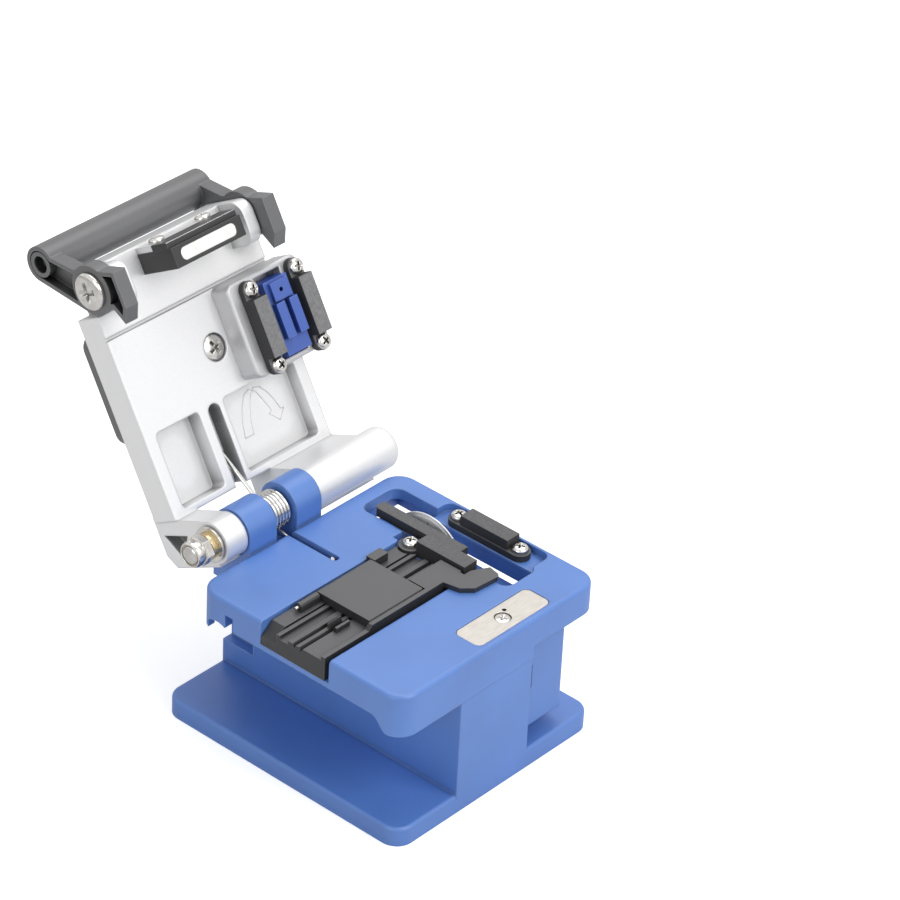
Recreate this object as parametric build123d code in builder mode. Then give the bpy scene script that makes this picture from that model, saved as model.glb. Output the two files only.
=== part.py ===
from build123d import *
import os
from math import cos, radians, sin

os.makedirs("parts", exist_ok=True)

# Fibre cleaver, standing with its lid open. X runs along the hinge shaft and the fibre,
# Y from the user to the hinge and Z up. The origin is under the middle of the base.
# Names that end in _z are heights above the ground. In the lid, u is the distance out from
# the hinge axis and w the height above it when the lid is shut.

# Clearances
shaft_gap = 0.05
slide_gap = 0.1
part_gap = 0.3

# Base stand
base_width = 59.1
base_depth = 65.0
base_plate = 4.43
base_corner = 4.0
base_edge = 0.8
column_left = -12.4
column_right = 8.8
joint_z = 27.5
relief_front = 24.0
relief_bottom_z = 9.6
relief_depth = 2.5

# Screws that hold the table on the column
body_screw_r = 1.5
body_screw_head_r = 2.75
body_screw_head = 2.4
body_screw_seat_z = 15.0
body_screw_tip_z = 33.0
body_screw_spread = 44.0

# Table
table_left = -30.6
table_right = 28.7
table_lip = 0.2
table_back = 22.4
table_top_z = 37.2
table_corner = 4.6
table_edge = 0.9
table_plate = 2.6
table_wall = 2.2
right_skirt_z = 30.45
left_skirt_z = 30.6
rear_skirt_z = 28.3
front_leg = 3.2
skirt_sweep = 4.7
rear_leg = 2.8
arch_width = 4.8
arch_rise = 0.5
notch_front = 12.4
notch_width = 2.3
notch_top_z = 33.8
table_block_left = -15.6
table_block_right = 5.2
table_block_z = 33.0

# Channel in the table for the fibre holder
channel_front = -13.6
channel_back = 4.9
channel_right = 9.6
channel_floor_z = 31.8
channel_floor = 1.1
channel_wall = 2.0

# Opening for the blade, and the ledges beside it that carry the lower clamps
opening_left = 12.5
opening_right = 22.3
opening_inset = 11.0
opening_back = 18.5
opening_bay = 1.5
opening_corner = 2.4
ledge_corner = 2.0
ledge_z = 35.4
ledge_bottom_z = 31.2
right_ledge_right = 27.6
right_ledge_front = -20.5
right_ledge_back = 7.0
left_ledge_front = -17.5
left_ledge_back = 6.5

# Steel plate that the lid's magnet pulls on
strike_x = 4.65
strike_inset = 5.1
strike_length = 21.9
strike_width = 7.0
strike_corner = 1.6
strike_recess = 1.2
strike_thick = 1.1
strike_screw_r = 0.9
strike_screw_head_r = 1.7
strike_screw_head = 0.5
strike_screw_depth = 3.0
strike_hole_r = 0.45
strike_hole_right = 2.15
strike_hole_back = 1.5

# Hinge between the table and the lid
hinge_y = 27.4
hinge_z = 40.4
shaft_r = 2.0
knuckle_r = 5.1
knuckle_1_right = -7.9
knuckle_2_left = -2.0
barrel_r = 4.7
barrel_left = -21.5
cap_length = 6.3
cap_wall = 2.1
barrel_cap_round = 2.0
shaft_left = -27.9
washer_r = 3.9
washer_thick = 0.5
nut_r = 3.9
nut_thick = 2.7
bush_r = 3.5
bush_depth = 1.2

# Lid spring
spring_r = 4.1
spring_inner_r = 3.2
spring_valley = 0.35
spring_turns = 5
wire_r = 0.45
table_leg_x = -4.2
table_leg_tip_y = 9.7
table_leg_drop = 1.05
leg_slot_width = 1.8
leg_slot_depth = 2.0
lid_leg_x = -2.8
lid_leg_start = (1.46, 4.84)
lid_leg_end = (14.5, 11.5)

# Lid
open_angle = 59.8
lid_left = -22.0
lid_right = 23.8
lid_start = 5.6
lid_end = 59.5
lid_ear_length = 9.5
lid_inner = 8.0
lid_outer = 15.5
lid_edge = 1.2
foot_left = -15.9
foot_right = 5.5
foot_heel = 5.3
foot_chin = 4.6
foot_chin_w = 13.5
foot_back = 1.8
foot_pocket_depth = 3.0
foot_pocket = ((2.0, 6.7), (2.6, 14.0), (-2.8, 10.5))
pocket_start = 7.0
pocket_end = 23.4
left_pocket = (-19.0, -6.8)
left_pocket_w = 12.0
right_pocket = (0.2, 21.0)
right_pocket_w = 11.4
pocket_round = 1.0
leg_pocket_r = 1.7
leg_pocket_w = 12.0
groove_u = 45.0
groove_width = 0.7
groove_depth = 0.5
ear_left = -18.9
ear_right = 19.5
ear_thick = 3.0
ear_tip_w = 1.0
ear_round = 3.0
flap_left = -7.2
flap_right = 12.3
flap_thick = 1.2
flap_inset = 1.7
flap_tip_w = -2.0

# Magnet box under the lid's end
magnet_box_depth = 4.4
magnet_box_w = -3.0
magnet_wall = 0.75
magnet_end_wall = 2.0
magnet_corner = 1.2
magnet_height = 3.4
magnet_screw_spread = 13.1
magnet_screw_w = 4.5
magnet_screw_r = 0.9
magnet_screw_head_r = 1.75
magnet_screw_head = 1.0
magnet_screw_depth = 4.0

# Grip pad on the lid's outer face
pad_start = 22.0
pad_end = 46.0
pad_inset = 0.5
pad_thick = 2.2
pad_corner = 3.0
pad_edge = 0.8
pad_screw_x = 3.2
pad_screw_u = 33.5
pad_screw_r = 1.5
pad_screw_head_r = 2.9
pad_screw_head = 1.3
pad_screw_bite = 1.4

# Clamp block under the lid, with its window for the anvil
block_left = 6.9
block_right = 27.2
block_start = 24.2
block_end = 44.6
block_face = 2.8
block_corner = 1.6
block_edge = 0.4
window_left = 14.5
window_right = 21.9
window_start = 25.4
window_end = 43.4
window_step = 5.0
window_shelf = 0.7
block_screw_r = 1.2
block_screw_head_r = 2.2
block_screw_head = 1.6
block_screw_depth = 2.4
block_screw_x = 10.2
block_screw_us = (26.2, 42.4)

# Rubber clamps on the lid and on the table
clamp_centre_left = 11.6
clamp_centre_right = 24.8
clamp_width = 3.8
flange_width = 4.4
flange_thick = 1.5
lower_pad_z = 39.2
pad_opening = 0.3
clamp_screw_spread = 16.6
clamp_flange_end = 1.9
clamp_screw_r = 0.8
clamp_screw_head_r = 1.75
clamp_screw_head = 1.3
clamp_screw_depth = 1.9
clamp_pad_length = 12.7
lower_right_clamp_y = -6.3
upper_clamp_u = 33.8
left_lug = (10.7, 2.5)
left_lug_r = 2.6
left_clamp_front = -14.4
left_pad_front = -12.8
left_pad_back = 0.2
guard_left = 13.5
guard_right = 16.2
guard_front = -8.0
guard_back = 15.0
guard_bottom_z = 36.6
guard_top_z = 38.7

# Anvil that bends the fibre over the blade
anvil_start = 26.0
anvil_end = 42.0
anvil_tip_w = -0.6
anvil_neck_w = 0.9
anvil_flange = 1.0
anvil_travel = 1.8
anvil_pad_w = -0.1
anvil_pad_width = 4.8
anvil_pad_start = 37.5
anvil_pad_end = 41.5
anvil_rib_start = 29.6
anvil_rib_end = 37.2
anvil_rib_width = 2.3
anvil_rib_gap = 1.4
anvil_hole_r = 0.5
anvil_hole_depth = 2.0
anvil_spring_r = 1.6
anvil_spring_bore = 0.9
anvil_spring_depth = 3.0
anvil_spring_spread = 9.6

# Bail handle at the lid's end
pivot_inset = 3.8
pivot_w = 6.2
bail_ring_r = 5.4
bail_left = -22.5
bail_right = 23.1
bail_rim = 0.9
bail_pocket = 2.2
bar_reach = 7.1
bar_w = 19.0
bar_r = 3.9
bar_hole_r = 1.85
bar_hole_depth = 2.4
bail_shoulder = ((-3.2, 2.2), (3.7, 1.0))
bail_toe = ((-4.2, 3.3), (-4.3, -4.6), (-7.9, -6.7), (-4.8, -8.6), (2.8, -8.6), (4.9, 3.4))
bail_screw_head_r = 4.0
bail_screw_head = 1.4
bail_screw_thread_r = 1.5
bail_screw_depth = 2.6
bail_recess = 4.4
bail_recess_width = 1.0

# Fibre holder in the channel
holder_front = -12.4
holder_back = 4.6
holder_right = 9.3
holder_bed_z = 36.4
holder_top_z = 38.4
front_wall = 1.0
front_wall_left = -17.0
front_wall_low_z = 37.3
frame_left = -0.4
right_lug_end = 3.6
window_back = 2.3
window_front = -6.9
fibre_y = -6.0
second_groove_y = -4.2
v_groove = 1.0
wide_groove_y = -1.4
wide_groove = 2.2
wide_groove_depth = 0.9
slot_y = 0.85
slot_width = 0.5
step_left = -22.0
step_right = -18.2
step_front = -7.6
step_back = -5.0
step_top_z = 37.6
ramp_back_start = -27.6
ramp_back_y = 0.6
ramp_depth = 2.6
hook_bottom_z = 37.25
hook_outline = (
    (3.7, -12.0),
    (4.6, -16.2),
    (6.8, -18.3),
    (13.7, -18.9),
    (14.4, -15.6),
    (10.7, -13.6),
    (8.8, -13.6),
    (8.8, -12.0),
)
lug_left = -22.0
lug_back = 4.2

# Flip cover over the holder
cover_left = -16.4
cover_right = -0.7
cover_bottom_z = 36.6
cover_axis_y = 2.8
cover_pin_r = 0.4
cover_pin_left = -23.0
cover_pin_right = 3.0
keeper_x = -8.5
keeper_y = -9.6
keeper_r = 1.2
keeper_depth = 1.2

# Screws that hold the holder from below
holder_screw_x = -20.5
holder_screw_y = -3.9
holder_screw_spread = 9.0
holder_screw_r = 1.0
holder_screw_head_r = 1.9
holder_screw_head = 1.2
holder_screw_depth = 3.4

# Blade, its arbor and clamp screw
blade_y = 4.2
blade_z = 29.6
blade_r = 9.75
blade_thick = 1.0
blade_left = 17.7
blade_bevel = 0.35
blade_bevel_width = 1.3
blade_bore_r = 2.0
arbor_gap = 0.04
arbor_flange_r = 3.4
clamp_head_r = 3.8
clamp_head = 0.75
clamp_thread_r = 0.8
clamp_hex_r = 1.1

# Carriage that draws the blade along, and its linear guide
carriage_left = 9.3
carriage_right = 22.5
carriage_front = -30.0
carriage_back = 20.0
carriage_bottom_z = 7.7
carriage_top_z = 29.9
cheek_left = 19.4
slot_left = 16.4
slot_gap = 0.8
boss_r = 4.4
carriage_round = 1.5
rail_height = 3.0
rail_width = 5.0
rail_waist = 0.5
rail_z = 20.0
rail_front = -30.0
rail_back = 28.0
slider_right = 14.5
slider_front = -10.0
slider_back = 14.0
slider_height = 11.0
rail_screw_r = 0.8
rail_screw_head_r = 1.5
rail_screw_head = 1.0
rail_screw_depth = 3.0
rail_screw_ys = (-24.0, -8.0, 8.0, 22.0)
carriage_screw_r = 1.0
carriage_screw_head_r = 1.9
carriage_screw_head = 1.3
carriage_screw_bite = 1.6
carriage_screw_seat = 16.5
carriage_screw_z = 15.8
carriage_screw_ys = (-6.0, 10.0)

# Places worked out from the sizes above
corner = (Align.MIN, Align.MIN, Align.MIN)
table_front = -base_depth / 2 - table_lip
table_mid = ((table_left + table_right) / 2, (table_front + table_back) / 2)
table_width = table_right - table_left
table_depth = table_back - table_front
strike_y = table_front + strike_inset
opening_front = table_front + opening_inset
lid_shoulder = lid_end - lid_ear_length
pivot_u = lid_end - pivot_inset
bar_u = pivot_u + bar_reach
underside_z = table_top_z - table_plate
knuckle_back = hinge_y + knuckle_r
body_screw_x = (column_left + column_right) / 2
lid_out = Vector(0, sin(radians(open_angle)), -cos(radians(open_angle)))
lid_home = Vector(0, -cos(radians(open_angle)), -sin(radians(open_angle)))
cover_r = (holder_top_z - cover_bottom_z) / 2
cover_axis_z = holder_top_z - cover_r
blade_x = blade_left + blade_thick / 2
bail_arm_left = ear_left - part_gap - bail_left
bail_arm_right = bail_right - ear_right - part_gap
upper_pad_w = lower_pad_z + pad_opening - hinge_z
barrel_cap = lid_right + cap_length
shaft_right = barrel_cap - cap_wall
flap_inner = lid_end - flap_inset
magnet_box_inner = flap_inner - magnet_box_depth
magnet_width = magnet_box_depth - 2 * magnet_wall
magnet_length = flap_right - flap_left - 2 * magnet_end_wall
magnet_mid = ((flap_left + flap_right) / 2, -(magnet_box_inner + flap_inner) / 2)
bail_outline = [(bar_u + u, bar_w + w) for u, w in bail_shoulder[:1]]
bail_outline += [(pivot_u + u, pivot_w + w) for u, w in bail_toe]
bail_outline += [(bar_u + u, bar_w + w) for u, w in bail_shoulder[1:]]


def lid_plane(w):
    """Plane parallel to the lid, w from the hinge axis; sketch points are (x, -u)."""
    return Plane(origin=(0, hinge_y, hinge_z), x_dir=(1, 0, 0), z_dir=lid_out).offset(w)


def lid_side(x):
    """Plane across the hinge axis that turns with the lid; sketch points are (-u, w)."""
    return Plane(origin=(x, hinge_y, hinge_z), x_dir=lid_home, z_dir=(1, 0, 0))


def facing(plane, x, y, outward=1):
    """Plane whose origin is the point (x, y) of another plane, on the same or other side."""
    return Plane(
        origin=plane.from_local_coords((x, y, 0)),
        x_dir=plane.x_dir,
        z_dir=plane.z_dir * outward,
    )


def pan_screw(seat, head_r, head, shank_r, depth):
    """Cross-recessed screw: its head stands on the seat plane, its shank goes below."""
    recess = head_r * 1.1
    with BuildPart() as screw:
        with BuildSketch(seat):
            Circle(head_r)
        extrude(amount=head)
        with BuildSketch(seat.offset(head)):
            Rectangle(recess, recess * 0.22)
            Rectangle(recess * 0.22, recess)
        extrude(amount=-head * 0.6, mode=Mode.SUBTRACT)
        with BuildSketch(seat):
            Circle(shank_r)
        extrude(amount=-depth)
    return screw.part


# Base stand: a foot plate with an upright column
with BuildPart() as base_stand:
    with BuildSketch():
        RectangleRounded(base_width, base_depth, base_corner)
    extrude(amount=base_plate)
    fillet(base_stand.faces().sort_by(Axis.Z)[-1].edges(), base_edge)
    with Locations((column_left, -base_depth / 2, 0)):
        Box(column_right - column_left, base_depth, joint_z, align=corner)
    with Locations((column_left, relief_front, relief_bottom_z)):
        Box(relief_depth, base_depth, base_depth, align=corner, mode=Mode.SUBTRACT)
    with Locations(Plane.XY.rotated((180, 0, 0))):
        with Locations(*[(body_screw_x, s * body_screw_spread / 2) for s in (-1, 1)]):
            CounterBoreHole(
                body_screw_r + slide_gap, body_screw_head_r + slide_gap, body_screw_seat_z
            )
    with BuildSketch(Plane.YZ.offset(column_right)):
        with Locations(*[(y, rail_z) for y in rail_screw_ys]):
            Circle(rail_screw_r + shaft_gap)
    extrude(amount=-rail_screw_depth, mode=Mode.SUBTRACT)
base_stand.part.label = "base_stand"
export_step(base_stand.part, "parts/base_stand.step")

# Screws up through the column into the table
body_screw_seats = [
    Plane(
        origin=(body_screw_x, s * body_screw_spread / 2, body_screw_seat_z),
        z_dir=(0, 0, -1),
    )
    for s in (-1, 1)
]
body_screw_length = body_screw_tip_z - body_screw_seat_z
with BuildPart() as body_screws:
    add(
        [
            pan_screw(seat, body_screw_head_r, body_screw_head, body_screw_r, body_screw_length)
            for seat in body_screw_seats
        ]
    )
body_screws.part.label = "body_screws"
export_step(body_screws.part, "parts/body_screws.step")

# Table: a skirted top plate on a solid core, with the hinge knuckles behind
with BuildPart() as table_top:
    with BuildSketch(Plane.XY.offset(joint_z)):
        with Locations(table_mid):
            RectangleRounded(table_width, table_depth, table_corner)
    extrude(amount=table_top_z - joint_z)
    fillet(table_top.faces().sort_by(Axis.Z)[-1].edges(), table_edge)
    # Hollows left and right of the core
    left_hollow = (table_left + table_wall, column_left)
    right_hollow = (column_right, table_right - table_wall)
    for left, right in (left_hollow, right_hollow):
        with Locations((left, table_front + table_wall, joint_z)):
            Box(
                right - left,
                table_depth - 2 * table_wall,
                underside_z - joint_z,
                align=corner,
                mode=Mode.SUBTRACT,
            )
    # Shorter skirt right of the core
    with Locations((column_right, table_front, joint_z)):
        Box(table_width, table_depth, right_skirt_z - joint_z, align=corner, mode=Mode.SUBTRACT)
    # Swept lower edge of the left skirt
    sweep_end = table_front + front_leg + skirt_sweep
    arch_back = table_back - rear_leg
    arch_front = arch_back - arch_width
    with BuildSketch(Plane.YZ.offset(table_left)):
        with BuildLine():
            Line((table_back, joint_z), (table_front + front_leg, joint_z))
            Bezier(
                (table_front + front_leg, joint_z),
                (table_front + front_leg + skirt_sweep / 2, joint_z),
                (sweep_end - skirt_sweep / 2, left_skirt_z),
                (sweep_end, left_skirt_z),
            )
            Line((sweep_end, left_skirt_z), (arch_front, left_skirt_z))
            ThreePointArc(
                (arch_front, left_skirt_z),
                (arch_back - arch_width / 2, left_skirt_z + arch_rise),
                (arch_back, left_skirt_z - arch_rise),
            )
            Polyline(
                (arch_back, left_skirt_z - arch_rise),
                (arch_back, rear_skirt_z),
                (table_back, rear_skirt_z),
                (table_back, joint_z),
            )
        make_face()
    extrude(amount=column_left - table_left, mode=Mode.SUBTRACT)
    with Locations((table_left, notch_front, left_skirt_z)):
        Box(
            table_wall,
            notch_width,
            notch_top_z - left_skirt_z,
            align=corner,
            mode=Mode.SUBTRACT,
        )
    # Trough under the holder, and the ledge blocks
    with Locations(
        (table_left, channel_front - channel_wall, channel_floor_z - channel_floor)
    ):
        Box(
            channel_right + channel_wall - table_left,
            channel_back - channel_front + 2 * channel_wall,
            table_top_z - table_edge - channel_floor_z + channel_floor,
            align=corner,
        )
    with Locations((opening_right + part_gap, right_ledge_front, ledge_bottom_z)):
        Box(
            table_right - table_wall - opening_right,
            right_ledge_back - right_ledge_front,
            underside_z - ledge_bottom_z,
            align=corner,
        )
    with Locations((channel_right, left_ledge_front, ledge_bottom_z)):
        Box(
            opening_left - channel_right,
            left_ledge_back - left_ledge_front,
            underside_z - ledge_bottom_z,
            align=corner,
        )
    # Hinge knuckles on the rear block
    with Locations((table_block_left, table_back - table_wall, joint_z)):
        Box(
            table_block_right - table_block_left,
            knuckle_back - table_back + table_wall,
            table_block_z - joint_z,
            align=corner,
        )
    knuckle_spans = (
        (table_block_left, knuckle_1_right),
        (knuckle_2_left, table_block_right),
    )
    for left, right in knuckle_spans:
        with BuildSketch(Plane.YZ.offset(left)):
            with Locations((hinge_y, hinge_z)):
                Circle(knuckle_r)
            with Locations((hinge_y, table_block_z)):
                Rectangle(
                    2 * knuckle_r, hinge_z - table_block_z, align=(Align.CENTER, Align.MIN)
                )
        extrude(amount=right - left)
    with BuildSketch(Plane.YZ.offset(table_block_left)):
        with Locations((hinge_y, hinge_z)):
            Circle(shaft_r + shaft_gap)
    extrude(amount=table_block_right - table_block_left, mode=Mode.SUBTRACT)
    # Channel, blade opening and ledges
    with Locations((table_left, channel_front, channel_floor_z)):
        Box(
            channel_right - table_left,
            channel_back - channel_front,
            table_top_z,
            align=corner,
            mode=Mode.SUBTRACT,
        )
    with BuildSketch(Plane.XY.offset(joint_z)) as opening:
        Polygon(
            (opening_left, opening_front),
            (opening_right, opening_front),
            (opening_right, right_ledge_back),
            (opening_right + opening_bay, right_ledge_back),
            (opening_right + opening_bay, opening_back),
            (opening_left, opening_back),
            align=None,
        )
        ends = opening.vertices().group_by(Axis.Y)
        fillet(ends[0] + ends[-1], opening_corner)
    extrude(amount=table_top_z, mode=Mode.SUBTRACT)
    with BuildSketch(Plane.XY.offset(ledge_z)) as ledge:
        with Locations((opening_right - part_gap, right_ledge_front)):
            Rectangle(
                right_ledge_right - opening_right + part_gap,
                right_ledge_back - right_ledge_front,
                align=(Align.MIN, Align.MIN),
            )
        fillet(ledge.vertices().group_by(Axis.X)[-1], ledge_corner)
    extrude(amount=table_top_z, mode=Mode.SUBTRACT)
    with Locations((channel_right, left_ledge_front, ledge_z)):
        Box(
            opening_left - channel_right + part_gap,
            left_ledge_back - left_ledge_front,
            table_top_z,
            align=corner,
            mode=Mode.SUBTRACT,
        )
    with BuildSketch(Plane.XY.offset(ledge_z)):
        with Locations(left_lug):
            Circle(left_lug_r + part_gap)
    extrude(amount=table_top_z, mode=Mode.SUBTRACT)
    # Recess of the strike plate and slot for the spring's leg
    with BuildSketch(Plane.XY.offset(table_top_z)):
        with Locations((strike_x, strike_y)):
            RectangleRounded(strike_length, strike_width, strike_corner)
    extrude(amount=-strike_recess, mode=Mode.SUBTRACT)
    with BuildSketch(Plane.XY.offset(table_top_z)):
        with Locations((table_leg_x, table_leg_tip_y)):
            Circle(leg_slot_width / 2)
            Rectangle(leg_slot_width, table_depth, align=(Align.CENTER, Align.MIN))
    extrude(amount=-leg_slot_depth, mode=Mode.SUBTRACT)
    # Screw holes
    with BuildSketch(Plane.XY.offset(joint_z)):
        with Locations(*[(body_screw_x, s * body_screw_spread / 2) for s in (-1, 1)]):
            Circle(body_screw_r + shaft_gap)
    extrude(amount=body_screw_tip_z + part_gap - joint_z, mode=Mode.SUBTRACT)
    with BuildSketch(Plane.XY.offset(table_top_z)):
        with Locations((strike_x, strike_y)):
            Circle(strike_screw_r + shaft_gap)
    extrude(amount=-strike_recess - strike_screw_depth, mode=Mode.SUBTRACT)
    with BuildSketch(Plane.XY.offset(channel_floor_z)):
        with Locations(
            *[(holder_screw_x, holder_screw_y + s * holder_screw_spread / 2) for s in (-1, 1)]
        ):
            Circle(holder_screw_r + shaft_gap)
    extrude(amount=-channel_floor, mode=Mode.SUBTRACT)
    with BuildSketch(Plane.XY.offset(ledge_z)):
        with Locations(
            left_lug,
            *[
                (clamp_centre_right, lower_right_clamp_y + s * clamp_screw_spread / 2)
                for s in (-1, 1)
            ],
        ):
            Circle(clamp_screw_r + shaft_gap)
    extrude(amount=-clamp_screw_depth - part_gap, mode=Mode.SUBTRACT)
table_top.part.label = "table_top"
export_step(table_top.part, "parts/table_top.step")

# Strike plate for the lid's magnet, and its screw
strike_seat_z = table_top_z - strike_recess + strike_thick
with BuildPart() as strike_plate:
    with BuildSketch(Plane.XY.offset(table_top_z - strike_recess)):
        with Locations((strike_x, strike_y)):
            RectangleRounded(
                strike_length - 2 * slide_gap,
                strike_width - 2 * slide_gap,
                strike_corner - slide_gap,
            )
            Circle(strike_screw_r + shaft_gap, mode=Mode.SUBTRACT)
        with Locations((strike_x + strike_hole_right, strike_y + strike_hole_back)):
            Circle(strike_hole_r, mode=Mode.SUBTRACT)
    extrude(amount=strike_thick)
    with BuildSketch(Plane.XY.offset(strike_seat_z)):
        with Locations((strike_x, strike_y)):
            Circle(strike_screw_head_r + slide_gap)
    extrude(amount=-strike_screw_head, mode=Mode.SUBTRACT)
strike_plate.part.label = "strike_plate"
export_step(strike_plate.part, "parts/strike_plate.step")

strike_screw_plane = Plane((strike_x, strike_y, strike_seat_z - strike_screw_head))
with BuildPart() as strike_screw:
    add(
        pan_screw(
            strike_screw_plane,
            strike_screw_head_r,
            strike_screw_head,
            strike_screw_r,
            strike_screw_depth,
        )
    )
strike_screw.part.label = "strike_screw"
export_step(strike_screw.part, "parts/strike_screw.step")

# Lower right clamp: a rubber-faced pad on a flange with round ends
with BuildPart() as lower_right_clamp:
    with BuildSketch(Plane.XY.offset(ledge_z)):
        with Locations((clamp_centre_right, lower_right_clamp_y)):
            SlotCenterToCenter(clamp_screw_spread, flange_width, rotation=90)
        with Locations(
            *[
                (clamp_centre_right, lower_right_clamp_y + s * clamp_screw_spread / 2)
                for s in (-1, 1)
            ]
        ):
            Circle(clamp_screw_r + shaft_gap, mode=Mode.SUBTRACT)
    extrude(amount=flange_thick)
    with BuildSketch(Plane.XY.offset(ledge_z + flange_thick)):
        with Locations((clamp_centre_right, lower_right_clamp_y)):
            Rectangle(clamp_width, clamp_pad_length)
    extrude(amount=lower_pad_z - ledge_z - flange_thick)
lower_right_clamp.part.label = "lower_right_clamp"
export_step(lower_right_clamp.part, "parts/lower_right_clamp.step")

lower_clamp_seat = Plane.XY.offset(ledge_z + flange_thick)
right_screw_points = [
    (clamp_centre_right, lower_right_clamp_y + s * clamp_screw_spread / 2) for s in (-1, 1)
]
with BuildPart() as lower_right_clamp_screws:
    add(
        [
            pan_screw(
                facing(lower_clamp_seat, *point),
                clamp_screw_head_r,
                clamp_screw_head,
                clamp_screw_r,
                flange_thick + clamp_screw_depth,
            )
            for point in right_screw_points
        ]
    )
lower_right_clamp_screws.part.label = "lower_right_clamp_screws"
export_step(lower_right_clamp_screws.part, "parts/lower_right_clamp_screws.step")

# Lower left clamp, with the round screw lug and the guard beside the blade
with BuildPart() as lower_left_clamp:
    with BuildSketch(Plane.XY.offset(ledge_z)):
        with Locations((clamp_centre_left, left_clamp_front)):
            Rectangle(
                clamp_width,
                left_lug[1] - left_clamp_front,
                align=(Align.CENTER, Align.MIN),
            )
        with Locations(left_lug):
            Circle(left_lug_r)
            Circle(clamp_screw_r + shaft_gap, mode=Mode.SUBTRACT)
    extrude(amount=flange_thick)
    with Locations((clamp_centre_left - clamp_width / 2, left_pad_front, ledge_z)):
        Box(
            clamp_width,
            left_pad_back - left_pad_front,
            lower_pad_z - ledge_z,
            align=corner,
        )
    with BuildSketch(Plane.XY.offset(guard_bottom_z)) as guard:
        with Locations((guard_left - slide_gap, guard_front)):
            Rectangle(
                guard_right - guard_left + slide_gap,
                guard_back - guard_front,
                align=(Align.MIN, Align.MIN),
            )
        chamfer(guard.vertices().sort_by(Axis.Y)[-2:], slot_width)
    extrude(amount=guard_top_z - guard_bottom_z)
lower_left_clamp.part.label = "lower_left_clamp"
export_step(lower_left_clamp.part, "parts/lower_left_clamp.step")

with BuildPart() as lower_left_clamp_screw:
    add(
        pan_screw(
            facing(lower_clamp_seat, *left_lug),
            clamp_screw_head_r,
            clamp_screw_head,
            clamp_screw_r,
            flange_thick + clamp_screw_depth,
        )
    )
lower_left_clamp_screw.part.label = "lower_left_clamp_screw"
export_step(lower_left_clamp_screw.part, "parts/lower_left_clamp_screw.step")

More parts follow.
